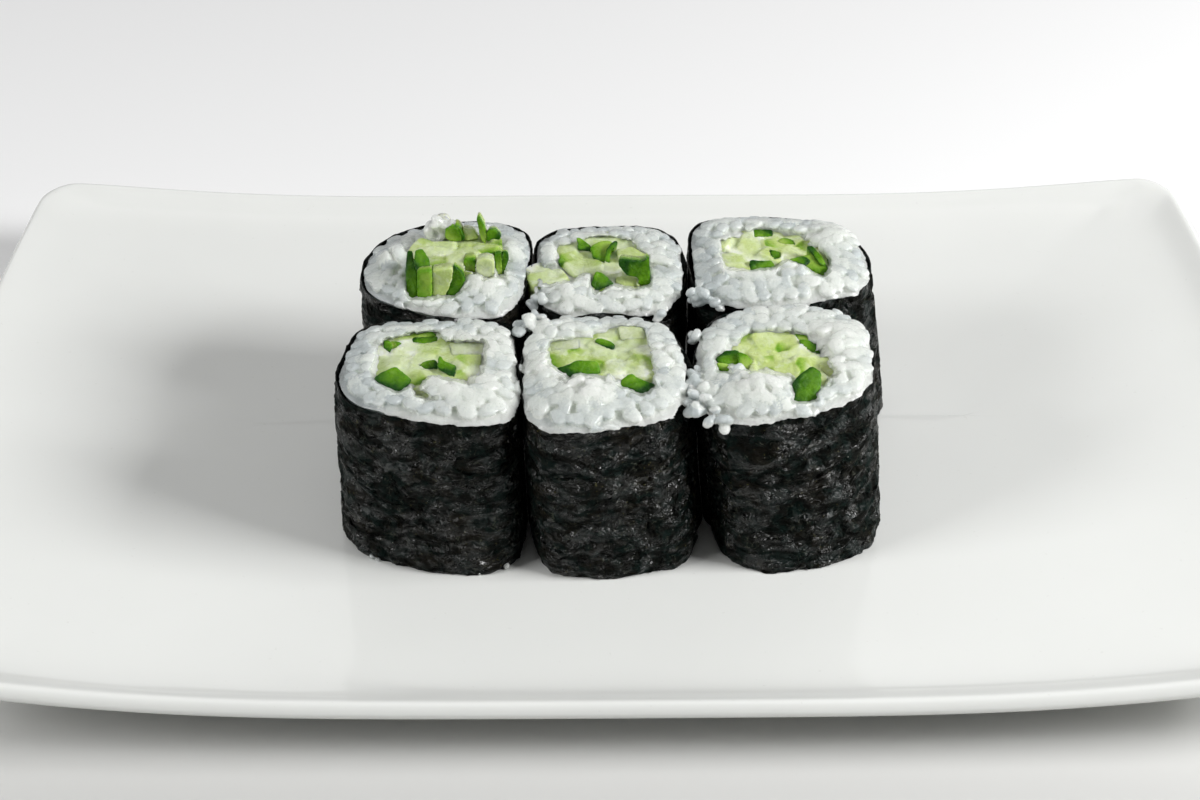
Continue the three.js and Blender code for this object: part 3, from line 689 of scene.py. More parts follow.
class Wall:
    """The outer face of a roll, read from its nori node."""

    directions = around(256)
    harmonics = 12

    def __init__(self, roll):
        mesh = frame["nodes"]["nori_" + roll].data
        low, high = (np.array(corner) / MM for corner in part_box("nori_" + roll))
        self.middle = ((low + high) / 2)[:2]
        self.foot, self.top = low[2], high[2]
        rings = {}
        for face in mesh.polygons:
            outward = np.array(face.center[:2]) / MM - self.middle
            if abs(face.normal.z) < 0.5 and np.dot(outward, face.normal[:2]) > 0:
                for index in face.vertices:
                    x, y, z = (round(c / MM, 3) for c in mesh.vertices[index].co)
                    rings.setdefault(round(z, 1), set()).add((x, y))
        self.heights = np.array(sorted(rings))
        self.reaches = np.array([self._reach(rings[z]) for z in sorted(rings)])

    def _reach(self, ring):
        """How far a ring of points reaches from the middle in each direction, without its facets."""
        offsets = np.array(sorted(ring)) - self.middle
        angles = np.arctan2(offsets[:, 1], offsets[:, 0]) % FULL_TURN
        order = np.argsort(angles)
        lengths = np.hypot(*offsets.T)[order]
        reach = np.interp(self.directions, angles[order], lengths, period=FULL_TURN)
        spectrum = np.fft.rfft(reach)
        spectrum[self.harmonics :] = 0
        return np.fft.irfft(spectrum, len(self.directions))

    def reach(self, angles, height):
        """How far the wall reaches in some directions at a height over the table."""
        rows = [np.interp(angles, self.directions, row, period=FULL_TURN) for row in self.reaches]
        return np.array([np.interp(height, self.heights, column) for column in np.array(rows).T])

    def ring(self, angles, height, inset=0.0):
        """Points of the wall at a height, drawn in by an inset."""
        reach = self.reach(angles, height) - inset
        return (*self.middle, height) + steps(angles) * reach[:, None]


def touching(roll, near=2.9, play=0.04):
    """The directions of a roll's close neighbours, in degrees, each with half the gap at the wall's heights.

    Rolls within near millimetres count, and play is what stays open between them.
    """
    wall = Wall(roll)
    found = []
    for other in ROLLS:
        beside = Wall(other)
        across = beside.middle - wall.middle
        heading = np.array([math.atan2(across[1], across[0])])
        reaches = [wall.reach(heading, z)[0] + beside.reach(heading + math.pi, z)[0] for z in wall.heights]
        gaps = np.hypot(*across) - np.array(reaches)
        if other != roll and gaps.mean() < near:
            found.append((math.degrees(heading[0]), np.maximum(gaps / 2 - play, 0)))
    return found


def bundle_outline(roll):
    """The middle and half sizes of a roll's cucumber bundle, in millimetres."""
    low, high = (np.array(corner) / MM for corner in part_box("cucumber_" + roll))
    return ((low + high) / 2)[:2], ((high - low) / 2)[:2]


def square_reach(angles, half, squareness=3.3):
    """How far a rounded square of these half sizes reaches in some directions."""
    across = np.abs(np.cos(angles) / half[0]) ** squareness
    along = np.abs(np.sin(angles) / half[1]) ** squareness
    return (across + along) ** (-1 / squareness)


def upright(roll):
    """How far an upright face rises for each millimetre that it seems to cover on the level of the rim."""
    return (CAMERA[2] - Wall(roll).top) / (ROLLS[roll]["at"][1] - CAMERA[1])


def seen_at(places, level, rise):
    """Where points seen on a level plane lie when they stand a rise over it."""
    share = (np.asarray(rise) / (CAMERA[2] - level))[:, None]
    spots = places + (np.array(CAMERA[:2]) - places) * share
    return np.column_stack([spots, level + np.asarray(rise)])


def as_seen(points, level):
    """Where points are seen on a level plane, and how far they stand over it."""
    rise = points[:, 2] - level
    share = (rise / (CAMERA[2] - level))[:, None]
    return (points[:, :2] - np.array(CAMERA[:2]) * share) / (1 - share), rise


def inside(places, outline):
    """Which places lie inside a closed outline."""
    x, y = places.T
    within = np.zeros(len(places), bool)
    for (x1, y1), (x2, y2) in zip(outline, np.roll(outline, -1, axis=0)):
        crosses = (y1 > y) != (y2 > y)
        with np.errstate(divide="ignore", invalid="ignore"):
            within ^= crosses & (x < (x2 - x1) * (y - y1) / (y2 - y1) + x1)
    return within


def grown(outline, margin):
    """An outline grown away from its middle by a margin."""
    outline = np.asarray(outline, float)
    offsets = outline - outline.mean(axis=0)
    lengths = np.hypot(*offsets.T)[:, None]
    return outline.mean(axis=0) + offsets * (1 + margin / np.maximum(lengths, 1e-3))


def towards(angles, direction, spread):
    """1 in a direction, fading to 0 over a spread, in degrees."""
    away = np.degrees(angles) - direction
    away = (away + 180) % 360 - 180
    return np.exp(-((away / spread) ** 2))


# ---------------------------------------------------------------- plate


def porcelain_material(colours):
    """White glaze with a faint cloud, a few pits and a slight ripple."""
    shader = Shader("porcelain")
    cloud = shader.noise(45, detail=3)
    duller = [c * 0.975 for c in colours.porcelain]
    tint = shader.mix(shader.smooth(cloud, 0.35, 0.7), colours.porcelain, duller)
    pits = shader.smooth(shader.noise(0.9, detail=1), 0.74, 0.80)
    tint = shader.mix(pits * 0.12, tint, (0.45, 0.44, 0.40))
    ripple = shader.bump(shader.noise(16, detail=2), 0.05)
    return shader.finish(
        Base_Color=tint,
        Roughness=shader.noise(30, detail=2) * 0.05 + 0.09,
        IOR=1.5,
        Normal=ripple,
        Coat_Weight=0.35,
        Coat_Roughness=0.04,
        Subsurface_Weight=0.08,
        Subsurface_Radius=(1, 1, 0.9),
        Subsurface_Scale=0.002,
    )


class MAKI_OT_plate(bpy.types.Operator):
    """Builds the porcelain plate: the CAD dish with its rings smoothed"""

    bl_idname = "maki.plate"
    bl_label = "Plate"

    def execute(self, context):
        plate = bpy.data.objects.new("porcelain_plate", frame["nodes"]["plate"].data.copy())
        context.scene.collection.objects.link(plate)
        shape = bmesh.new()
        shape.from_mesh(plate.data)
        bmesh.ops.remove_doubles(shape, verts=shape.verts, dist=0.01 * MM)
        limits = {"angle_face_threshold": math.radians(60), "angle_shape_threshold": math.radians(120)}
        bmesh.ops.join_triangles(shape, faces=shape.faces, **limits)
        shape.to_mesh(plate.data)
        shape.free()
        smoothing = plate.modifiers.new("smooth", "SUBSURF")
        smoothing.levels = smoothing.render_levels = 3
        converted(plate)
        plate.data.shade_smooth()
        paint(plate, porcelain_material(context.scene.maki_colours))
        settle(plate, "plate")
        return {"FINISHED"}


# ---------------------------------------------------------------- nori


def nori_material(colours):
    """Seaweed: nearly black, crumpled, with tints of teal and brown, thin pale fibres, and tiny painted
    highlights.
    """
    shader = Shader("nori")
    patches = shader.noise(5.0, detail=3, roughness=0.6, stretch=(1, 1, 0.7), distortion=0.5)
    tints = shader.noise(2.6, detail=3, roughness=0.6)
    streaks = shader.noise(0.9, detail=3, roughness=0.6, stretch=(4, 4, 1), distortion=0.6)
    curls = shader.noise(2.2, detail=2, roughness=0.55, stretch=(1.3, 1.3, 1), distortion=1.6)
    hairs = 1 - shader.smooth((curls - 0.5) * (curls - 0.5), 0.00003, 0.0004)
    hairs = hairs * shader.smooth(shader.noise(1.6, detail=2), 0.52, 0.62)
    swells = shader.noise(4.2, detail=1.5, roughness=0.5, stretch=(1.5, 1.5, 1), distortion=1.0)
    folds = shader.noise(1.7, detail=1.5, roughness=0.5, stretch=(1.7, 1.7, 1), distortion=0.8)
    crumple = shader.noise(0.7, detail=3, roughness=0.6, stretch=(1.4, 1.4, 1), distortion=0.6)
    tint = shader.mix(shader.smooth(tints, 0.42, 0.60), colours.nori, (0.0025, 0.0075, 0.006))
    tint = shader.mix(shader.smooth(patches, 0.50, 0.66), tint, (0.0065, 0.0055, 0.0035))
    tint = shader.mix(shader.smooth(streaks, 0.54, 0.72) * 0.4, tint, (0.017, 0.017, 0.013))
    tint = shader.mix(hairs * 0.55, tint, (0.075, 0.080, 0.060))
    flecks = shader.smooth(shader.noise(0.6, detail=2), 0.66, 0.72) * shader.smooth(patches, 0.50, 0.62)
    tint = shader.mix(flecks * 0.7, tint, (0.075, 0.070, 0.022))
    # painted highlight: tiny pale glints painted into the colour where light would catch the sheet
    painted_glints = shader.smooth(shader.noise(0.42, detail=1), 0.77, 0.82) * shader.smooth(tints, 0.50, 0.58)
    tint = shader.mix(painted_glints, tint, (0.26, 0.27, 0.23))
    relief = shader.bump(swells, 4.4)
    relief = shader.bump(folds * shader.smooth(patches, 0.36, 0.60), 1.7, relief)
    relief = shader.bump(crumple * shader.smooth(tints, 0.36, 0.60), 0.34, relief)
    principled = "ShaderNodeBsdfPrincipled"
    dull = shader.add(principled, Base_Color=tint, Roughness=0.6, IOR=1.14, Normal=relief)
    rough = shader.smooth(tints, 0.3, 0.7) * 0.16 + 0.22
    glossy = shader.add(principled, Base_Color=tint, Roughness=rough, IOR=1.45, Normal=relief)
    glaze = shader.noise(2.6, detail=3, roughness=0.5, stretch=(2.0, 2.0, 1), distortion=0.9)
    shine = shader.smooth(glaze, 0.42, 0.62)
    return shader.finish(shader.add("ShaderNodeMixShader", i0=shine, i1=dull, i2=glossy))


NORI_FOOT = TABLE_TO_WELL + 0.06  # mm, just over the plate


def nori_edges(roll, index, angles):
    """The heights of a band's foot and top in each direction: ragged, and lower where the front sags."""
    circle = steps(angles) * ROLL_RADIUS + (0, 0, index * 5.0)
    sag = 0.6 * np.clip(-np.sin(angles) * 1.2, 0, 1)
    top = Wall(roll).top + 0.22 * waves(circle, 2.6, index, 4) - 0.10 - sag
    foot = NORI_FOOT + 0.14 + 0.14 * waves(circle, 2.0, index + 20, 3)
    return foot, top


def nori_folds(ring, index, share, depth):
    """How far the folds and sags stand out at a ring of points, a share of the way up the band."""
    drift = waves(ring, 7.0, index + 3, 2)[:, None] * (1.5, 1.5, 2.5)
    long_folds = np.clip(ridges(ring * (0.42, 0.42, 1.0) + drift, 2.9, index), 0, 1)
    short_folds = np.clip(ridges(ring * (0.8, 0.8, 1.1) + drift, 1.7, index + 40), 0, 1)
    sags = 0.24 * waves(ring, 10.0, index + 5, 1)
    relief = depth * (long_folds - 0.5) + depth * 0.45 * (short_folds - 0.4) + sags
    return relief * (0.25 + 0.75 * min(1, (1 - share) * 12))


def overlap(angles, seam, height=0.30, width=0.9):
    """How far the sheet's end stands out over its start: a step that fades over a width, in radians."""
    past = (angles - seam) % FULL_TURN
    return height * np.clip(past / 0.03, 0, 1) * (1 - np.clip(past / width, 0, 1)) ** 0.5


def make_nori(roll, index, sizes):
    """One band of seaweed: folds and sags on its outer face, an overlap down one side, ragged ends."""
    wall = Wall(roll)
    columns, rows = 320, 92
    every = 13  # the inner face has one ring for so many of the outer one's
    proudest = 0.35  # mm, how far the band may stand out of the wall
    angles = around(columns)
    outward = steps(angles)
    foot_edge, top_edge = nori_edges(roll, index, angles)
    step = overlap(angles, seam=1.9 + 0.7 * index)
    neighbours = touching(roll)
    outer = []
    for share in np.linspace(0, 1, rows):
        ring = wall.ring(angles, NORI_FOOT + (wall.top - NORI_FOOT) * share)
        ring[:, 2] = foot_edge + (top_edge - foot_edge) * share
        relief = nori_folds(ring, index, share, sizes.nori_folds / MM)
        relief = np.minimum(relief + step - 0.15 - 0.22 * math.exp(-share * 30), proudest)
        for direction, gaps in neighbours:
            pressed = towards(angles, direction, 15)
            relief = relief * (1 - pressed) + np.interp(ring[0, 2], wall.heights, gaps) * pressed
        outer.append(ring + outward * relief[:, None])
    outer = np.array(outer)
    inner = outer[::-every]
    thickness = sizes.nori_thickness / MM * np.array([0.45] + [1.0] * (len(inner) - 1))
    inner = inner - outward * thickness[:, None, None]
    points = np.concatenate([outer.reshape(-1, 3), inner.reshape(-1, 3)])
    return mesh_object("nori_band_" + roll, points, ring_faces(rows + len(inner), columns))


class MAKI_OT_nori(bpy.types.Operator):
    """Wraps each roll in its band of seaweed"""

    bl_idname = "maki.nori"
    bl_label = "Nori"

    def execute(self, context):
        material = nori_material(context.scene.maki_colours)
        for index, roll in enumerate(ROLLS):
            band = make_nori(roll, index + 1, context.scene.maki_sizes)
            paint(band, material)
            settle(band, "nori_" + roll)
        return {"FINISHED"}


# ---------------------------------------------------------------- rice


def rice_material(colours):
    """Cooked rice; the attribute 'pale' runs from 0, thin rice over the seaweed, to 1, a chalky clump; it
    also carries painted light that darkens crests and lightens creases.
    """
    shader = Shader("cooked_rice")
    pale = shader.attribute("pale")
    grain = shader.attribute("grain")
    cloud = shader.noise(1.2, detail=3, roughness=0.6)
    fine = shader.noise(0.45, detail=3, roughness=0.7)
    tint = shader.ramp(
        pale + grain * 0.42 + cloud * 0.28 + fine * 0.26 - 0.48,
        [(0.0, tuple(colours.rice_edge)), (0.45, tuple(colours.rice)), (1.0, tuple(colours.rice_clump))],
    )
    specks = shader.smooth(shader.noise(0.55, detail=1), 0.70, 0.76)
    tint = shader.mix(specks * 0.35, tint, (0.36, 0.37, 0.30))
    relief = shader.bump(shader.noise(0.9, detail=4, roughness=0.7), 0.42)
    return shader.finish(
        Base_Color=tint,
        Roughness=shader.noise(0.8, detail=2) * 0.36 + 0.03,
        IOR=1.40,
        Normal=relief,
        Coat_Weight=0.45,
        Coat_Roughness=0.12,
        Subsurface_Weight=0.9,
        Subsurface_Radius=(1, 1, 1),
        Subsurface_Scale=0.0036,
    )


def grain_shapes(sizes, count=4):
    """A collection of a few cooked grains, plump, slightly bent and each a little different."""
    collection = bpy.data.collections.new("grain_shapes")
    for kind in range(count):
        rings, sides = 7, 10
        points = [(-0.5, 0.0, 0.0)]
        for ring in range(1, rings + 1):
            along = -math.cos(math.pi * ring / (rings + 1)) / 2
            girth = math.sin(math.pi * ring / (rings + 1)) ** 0.62 / 2
            girth *= 1 + 0.10 * math.sin(2.3 * along * math.pi + kind)
            for side in range(sides):
                angle = FULL_TURN * side / sides
                groove = 1 - 0.06 * math.exp(-((angle - math.pi / 2) ** 2) * 4)
                y = girth * math.cos(angle) * groove
                z = girth * math.sin(angle) * groove * (0.86 + 0.05 * (kind % 2))
                bend = (0.10 + 0.06 * kind) * (along**2 - 0.12)
                points.append((along, y + bend, z))
        points.append((0.5, 0.0, 0.0))
        faces = [face[::-1] for face in ring_faces(rings, sides, first=1, closed=False)]
        last = len(points) - 1
        for side in range(sides):
            following = (side + 1) % sides
            faces.append((0, 1 + side, 1 + following))
            faces.append((last, last - sides + following, last - sides + side))
        scale = np.array([sizes.grain_length, sizes.grain_width, sizes.grain_width]) / MM
        shape = mesh_object("grain_%d" % kind, np.array(points) * scale, faces)
        bpy.context.scene.collection.objects.unlink(shape)
        collection.objects.link(shape)
    return collection


def grain_tree():
    """Geometry nodes that strew grains over a bed's faces marked 'open', and join them to the bed."""
    group = bpy.data.node_groups.new("strewn_grains", "GeometryNodeTree")
    face = group.interface
    face.new_socket("Geometry", in_out="INPUT", socket_type="NodeSocketGeometry")
    face.new_socket("Grains", in_out="INPUT", socket_type="NodeSocketCollection")
    for name, default in (("Spacing", 0.0021), ("Lift", 0.0005), ("Tilt", 0.55), ("Spread", 0.18)):
        face.new_socket(name, in_out="INPUT", socket_type="NodeSocketFloat").default_value = default
    face.new_socket("Seed", in_out="INPUT", socket_type="NodeSocketInt")
    face.new_socket("Material", in_out="INPUT", socket_type="NodeSocketMaterial")
    face.new_socket("Geometry", in_out="OUTPUT", socket_type="NodeSocketGeometry")

    tree = Tree(group)
    given = tree.add("NodeGroupInput")
    seed, tilt, spread = given.of("Seed"), given.of("Tilt"), given.of("Spread")
    number = {"data_type": "FLOAT"}
    crowd = 6.0e6  # grains to a square metre before the spacing thins them
    marks = tree.add("GeometryNodeInputNamedAttribute", {"data_type": "BOOLEAN"}, Name="open")
    strewn = tree.add(
        "GeometryNodeDistributePointsOnFaces",
        {"distribute_method": "POISSON"},
        Mesh=given.of("Geometry"),
        Distance_Min=given.of("Spacing"),
        Density_Max=crowd,
        Selection=marks.of("Attribute"),
        Seed=seed,
    )
    outward = strewn.of("Normal")
    rise = tree.add("ShaderNodeVectorMath", {"operation": "SCALE"}, i0=outward, Scale=given.of("Lift"))
    lifted = tree.add("GeometryNodeSetPosition", Geometry=strewn, Offset=rise)
    lean = tree.add("FunctionNodeRandomValue", number, output=1, Seed=seed, i2=tilt * -1.0, i3=tilt)
    spin = tree.add("FunctionNodeRandomValue", number, output=1, i2=0.0, i3=FULL_TURN)
    turn = tree.add("FunctionNodeEulerToRotation", Euler=tree.add("ShaderNodeCombineXYZ", Y=lean, Z=spin))
    shapes = tree.add(
        "GeometryNodeCollectionInfo",
        {"transform_space": "ORIGINAL"},
        Collection=given.of("Grains"),
        Separate_Children=True,
        Reset_Children=True,
    )
    local = {"rotation_space": "LOCAL"}
    pose = tree.add("FunctionNodeRotateRotation", local, Rotation=strewn.of("Rotation"), Rotate_By=turn)
    placed = tree.add(
        "GeometryNodeInstanceOnPoints",
        Points=lifted,
        Instance=shapes,
        Pick_Instance=True,
        Rotation=pose,
        Scale=tree.add("FunctionNodeRandomValue", number, output=1, i2=1 - spread, i3=1 + spread),
    )
    marked = tree.add(
        "GeometryNodeStoreNamedAttribute",
        {"data_type": "FLOAT", "domain": "INSTANCE"},
        Geometry=placed,
        Name="grain",
        Value=tree.add("FunctionNodeRandomValue", number, output=1, i2=0.0, i3=1.0),
    )
    whole = tree.add("GeometryNodeJoinGeometry", Geometry=[marked, given.of("Geometry")])
    real = tree.add("GeometryNodeRealizeInstances", Geometry=whole)
    coloured = tree.add("GeometryNodeSetMaterial", Geometry=real, Material=given.of("Material"))
    tree.add("NodeGroupOutput", i0=coloured)
    return group


def strewn_over(bed, group, **values):
    """The bed with the grains that the geometry nodes strew over it, with their inputs set."""
    modifier = bed.modifiers.new("grains", "NODES")
    modifier.node_group = group
    identifiers = {s.name: s.identifier for s in group.interface.items_tree if s.in_out == "INPUT"}
    for name, value in values.items():
        modifier[identifiers[name]] = value
    return converted(bed)


RICE_DEPTH = 3.4  # mm, from the rim down to the foot of the strewn rice
RICE_EDGE = 5  # mm, how far in from the nori the rice has risen to its full height


class Bed:
    """The top of a roll's rice, before its grains: how high it lies, how far out it hangs, how pale it is."""

    def __init__(self, roll, index, sizes):
        self.roll = roll
        self.look = ROLLS[roll]
        self.index = index
        self.wall = Wall(roll)
        self.dome = sizes.rice_dome / MM

    def polar(self, places):
        """Each place's direction from the roll's middle, its distance, and how far in from the nori it is."""
        offsets = places[:, :2] - self.wall.middle
        angles, lengths = np.arctan2(offsets[:, 1], offsets[:, 0]), np.hypot(*offsets.T)
        return angles, lengths, self.wall.reach(angles, self.wall.top) - lengths

    def grey(self, angles):
        """How thin and flush the rice lies by the nori, from 0 to 1."""
        thin = sum(towards(angles, d, spread) * strength for d, spread, strength in self.look["grey"])
        return np.clip(thin, 0, 1)

    def flush(self, angles, inward):
        """How thin and flush the rice lies, from 0 to 1, fading inwards."""
        return self.grey(angles) * np.clip(1 - inward / RICE_EDGE, 0, 1)

    def overhang(self, angles):
        """How far the rice hangs out over the nori: most at the front, and ragged."""
        front = 0.75 * np.clip(-np.sin(angles) * 1.3, 0, 1)
        ragged = 0.45 * waves(steps(angles) * ROLL_RADIUS, 2.4, self.index + 90, 2)
        out = front + 0.10 + ragged
        out = out + sum(towards(angles, d, spread) * reach for d, spread, reach in self.look["spills"])
        return np.clip(out, 0, None) * (1 - self.grey(angles))

    def clumps(self, places):
        """The height and the paleness that the clumps add."""
        height, pale = np.zeros(len(places)), np.zeros(len(places))
        for x, y, rise, radius, white in self.look["lumps"]:
            away = np.hypot(*(places[:, :2] - self.look["at"] - (x, y)).T)
            near = np.exp(-((away / radius) ** 2))
            height += rise * near
            pale = np.maximum(pale, white * np.exp(-((away / radius / 1.15) ** 4)))
        return height, pale

    def level(self, places):
        """The bed's height over the table."""
        angles, _, inward = self.polar(places)
        flush = self.flush(angles, inward)
        swell = self.dome * np.sin(np.pi / 2 * np.clip(inward / RICE_EDGE, 0, 1))
        droop = 0.8 * np.clip(-inward, 0, 1.4)
        mounds = self.clumps(places)[0] * np.clip(0.2 + inward / 2.5, 0, 1)
        return self.wall.top - 0.15 + swell * (1 - flush) - 0.20 * flush - droop + mounds

    def shape(self, columns=144):
        """The bed as a closed mesh: up inside the nori, out over its edge, and in to the middle.

        The attribute 'open' marks the faces that grains lie on.
        """
        angles = around(columns)
        top = self.wall.top
        reach = self.wall.reach(angles, top)
        rim = reach - 0.55 + self.overhang(angles)
        hidden = ((top - RICE_DEPTH, 1.6), (top - 1.2, 1.2))  # the height and the inset of each ring
        rings = [self.wall.ring(angles, height, inset) for height, inset in hidden]
        insets = (-0.2, 0.6, 1.6, 2.8, 4.0, 5.2, 6.6, 8.2, 10.0, 12.0)
        for inset in insets:
            ring = self.wall.ring(angles, top)
            shrink = np.clip(rim - inset, 0.8, None) / reach
            ring[:, :2] = self.wall.middle + (ring[:, :2] - self.wall.middle) * shrink[:, None]
            ring[:, 2] = self.level(ring) + 0.30 * waves(ring, 3.2, self.index + 31, 2)
            rings.append(ring)
        piece = mesh_object("bed_" + self.roll, np.concatenate(rings), tube_faces(len(rings), columns))
        middle, half = bundle_outline(self.roll)
        nearest = 0.82  # of the way out to the side of the bundle, where the grains start
        opened = []
        for face in piece.data.polygons:
            offset = np.array(face.center[:2]) / MM - middle
            beside = np.hypot(*offset) > nearest * square_reach(np.arctan2(offset[1], offset[0]), half)
            opened.append(columns * len(hidden) <= face.index < columns * (len(rings) - 1) and bool(beside))
        piece.data.attributes.new("open", "BOOLEAN", "FACE").data.foreach_set("value", opened)
        return piece

    def body(self, columns=60):
        """The plain rice that the nori hides, from the plate to the bed."""
        heights = np.linspace(TABLE_TO_WELL + 0.6, self.wall.top - RICE_DEPTH + 0.4, 4)
        outside = [self.wall.ring(around(columns), height, inset=2.2) for height in heights]
        centre = np.array([*self.wall.middle, 0])
        hollow = [centre + (ring - centre) * (0.5, 0.5, 1) for ring in reversed(outside)]
        return mesh_object("body_" + self.roll, np.concatenate(outside + hollow), ring_faces(8, columns))


def carve(points, roll, bare=None, depth=0.5, margin=0.3):
    """Lowers whatever would hide the faces of the sticks, and the bare cucumber, along the line of sight."""
    look = ROLLS[roll]
    level = Wall(roll).top
    places, rise = as_seen(points, level)
    places = places - look["at"]
    limit = np.full(len(points), np.inf)
    if bare is not None:
        limit[inside(places, np.array(look["window"]))] = bare
    steep = upright(roll)
    for _, low, stance, outline in look["pieces"]:
        outline = np.array(outline)
        face = low + stance * steep * (places[:, 1] - outline[:, 1].min()) - depth
        within = inside(places, grown(outline, margin))
        limit[within] = np.minimum(limit[within], face[within])
    lowered = rise > limit
    points[lowered] = seen_at(places[lowered] + look["at"], level, limit[lowered])
    return points


def settle_grains(points, bed):
    """Presses grains inside the nori and flattens their tops, as the knife leaves them, most in thin rice."""
    wall = bed.wall
    angles, lengths, inward = bed.polar(points)
    out = bed.overhang(angles)
    spilled = np.clip((points[:, 2] - wall.top + 0.3 + 0.9 * out) / 0.5, 0, 1) * np.clip(out * 4, 0, 1)
    limit = wall.reach(angles, wall.top) - 0.45 + spilled * (0.35 + out)
    soft = 0.5  # mm, the stretch within the limit over which they are pressed
    over = np.clip(lengths - (limit - soft), 0, None)
    pressed = np.where(over > 0, limit - soft + soft * (1 - np.exp(-over / soft)), lengths)
    share = (pressed / np.maximum(lengths, 1e-6))[:, None]
    points[:, :2] = wall.middle + (points[:, :2] - wall.middle) * share
    level = bed.level(points)
    proud = points[:, 2] - level
    cap = 1.25 - 0.70 * bed.flush(angles, inward)  # mm, how far a grain may stand out of the bed
    points[:, 2] = np.where(proud > 0, level + cap * np.tanh(proud / cap), points[:, 2])
    return points


def stray_grains(bed, grains):
    """Points and faces of the single grains that lie loose, three for each place."""
    shapes = list(grains.objects)
    rng = np.random.default_rng(900 + bed.index)
    parts = []
    for x, y, rise, heading, pitch in bed.look["strays"] * 3:
        shape = shapes[rng.integers(len(shapes))]
        heading, pitch = np.array([heading, pitch]) + rng.normal(0, 25, 2)
        turn = Matrix.Rotation(math.radians(heading), 3, "Z") @ Matrix.Rotation(-math.radians(pitch), 3, "Y")
        place = np.array([*(np.array(bed.look["at"]) + (x, y)), bed.wall.top + rise]) + rng.normal(0, 0.7, 3)
        slim = points_of(shape) * (0.9, 0.95, 0.95) * rng.uniform(0.55, 0.9)
        parts.append((slim @ np.array(turn).T + place, faces_of(shape)))
    return gathered(parts)


def crumbs(bed, grains):
    """Points and faces of the bits of grain that fell to the plate."""
    shapes = list(grains.objects)
    rng = np.random.default_rng(950 + bed.index)
    parts = []
    for number, (x, y, rise, size) in enumerate(bed.look["crumbs"]):
        shape = shapes[number % len(shapes)]
        turn = Matrix.Rotation(rng.uniform(0, FULL_TURN), 3, "Z")
        turn = turn @ Matrix.Rotation(rng.uniform(-0.4, 0.4), 3, "Y")
        place = np.array([*(np.array(bed.look["at"]) + (x, y)), TABLE_TO_WELL + rise])
        parts.append((size * points_of(shape) @ np.array(turn).T + place, faces_of(shape)))
    return gathered(parts)


def colour_rice(piece, bed, shade_at):
    """Stores each point's grain, a random shade, and how pale it is, with painted light: crests are painted
    darker and creases lighter, against the highlights and shade that fall on them.
    """
    points = points_of(piece)
    set_attribute(piece, "grain", [shade_at(point) for point in points])
    angles, _, inward = bed.polar(points)
    thin = bed.grey(angles) * np.clip(1 - (inward - 1.0) / 4.2, 0, 1)
    # painted light: how far a point stands over the bed paints crests darker and creases lighter, to take out
    # some highlight and shade
    crest_for_painted_light = np.clip((points[:, 2] - bed.level(points) - 0.30) / 0.40, -1, 1)
    pale = 0.47 + 0.45 * bed.clumps(points)[1] - 0.5 * thin - 0.25 * crest_for_painted_light * (1 - thin)
    set_attribute(piece, "pale", np.clip(pale, 0, 1))


def make_rice(roll, index, sizes, grains, group, material):
    """One roll's rice: a top of grains that cling together, over a plain body that the nori hides."""
    bed = Bed(roll, index, sizes)
    strewn = strewn_over(
        bed.shape(),
        group,
        Grains=grains,
        Spacing=sizes.grain_spacing,
        Lift=0.0005,
        Tilt=0.55,
        Spread=0.18,
        Seed=index,
        Material=material,
    )
    points = settle_grains(points_of(strewn), bed)
    points = carve(points, roll, bare=min(bed.look["flesh"][:2]) - 0.45)
    move_points(strewn, points)
    shade = np.empty(len(points), np.float32)
    strewn.data.attributes["grain"].data.foreach_get("value", shade)
    nearest = kdtree.KDTree(len(points))
    for number, point in enumerate(points):
        nearest.insert(point, number)
    nearest.balance()
    parts = [strewn]
    if bed.look["strays"]:
        parts.append(mesh_object("strays_" + roll, *stray_grains(bed, grains)))
    if "crumbs" in bed.look:
        parts.append(mesh_object("crumbs_" + roll, *crumbs(bed, grains)))
    strewn = clung(joined("rice_" + roll, parts), voxel=0.19, rounds=1)
    without_specks(strewn)

    piece = joined("rice_grains_" + roll, [strewn, bed.body()])
    points = points_of(piece)
    points[:, 2] += 0.05 * waves(points, 0.9, index + 60, 2) * (points[:, 2] > bed.wall.top - RICE_DEPTH)
    move_points(piece, points)
    colour_rice(piece, bed, lambda point: shade[nearest.find(point)[1]])
    paint(piece, material)
    piece.data.shade_smooth()
    return piece


class MAKI_OT_rice(bpy.types.Operator):
    """Fills each roll with cooked rice"""

    bl_idname = "maki.rice"
    bl_label = "Rice"

    def execute(self, context):
        sizes = context.scene.maki_sizes
        material = rice_material(context.scene.maki_colours)
        grains = grain_shapes(sizes)
        group = grain_tree()
        for index, roll in enumerate(ROLLS):
            piece = make_rice(roll, index + 1, sizes, grains, group, material)
            settle(piece, "rice_" + roll)
        for shape in list(grains.objects):
            bpy.data.objects.remove(shape)
        bpy.data.collections.remove(grains)
        return {"FINISHED"}


# ---------------------------------------------------------------- cucumber


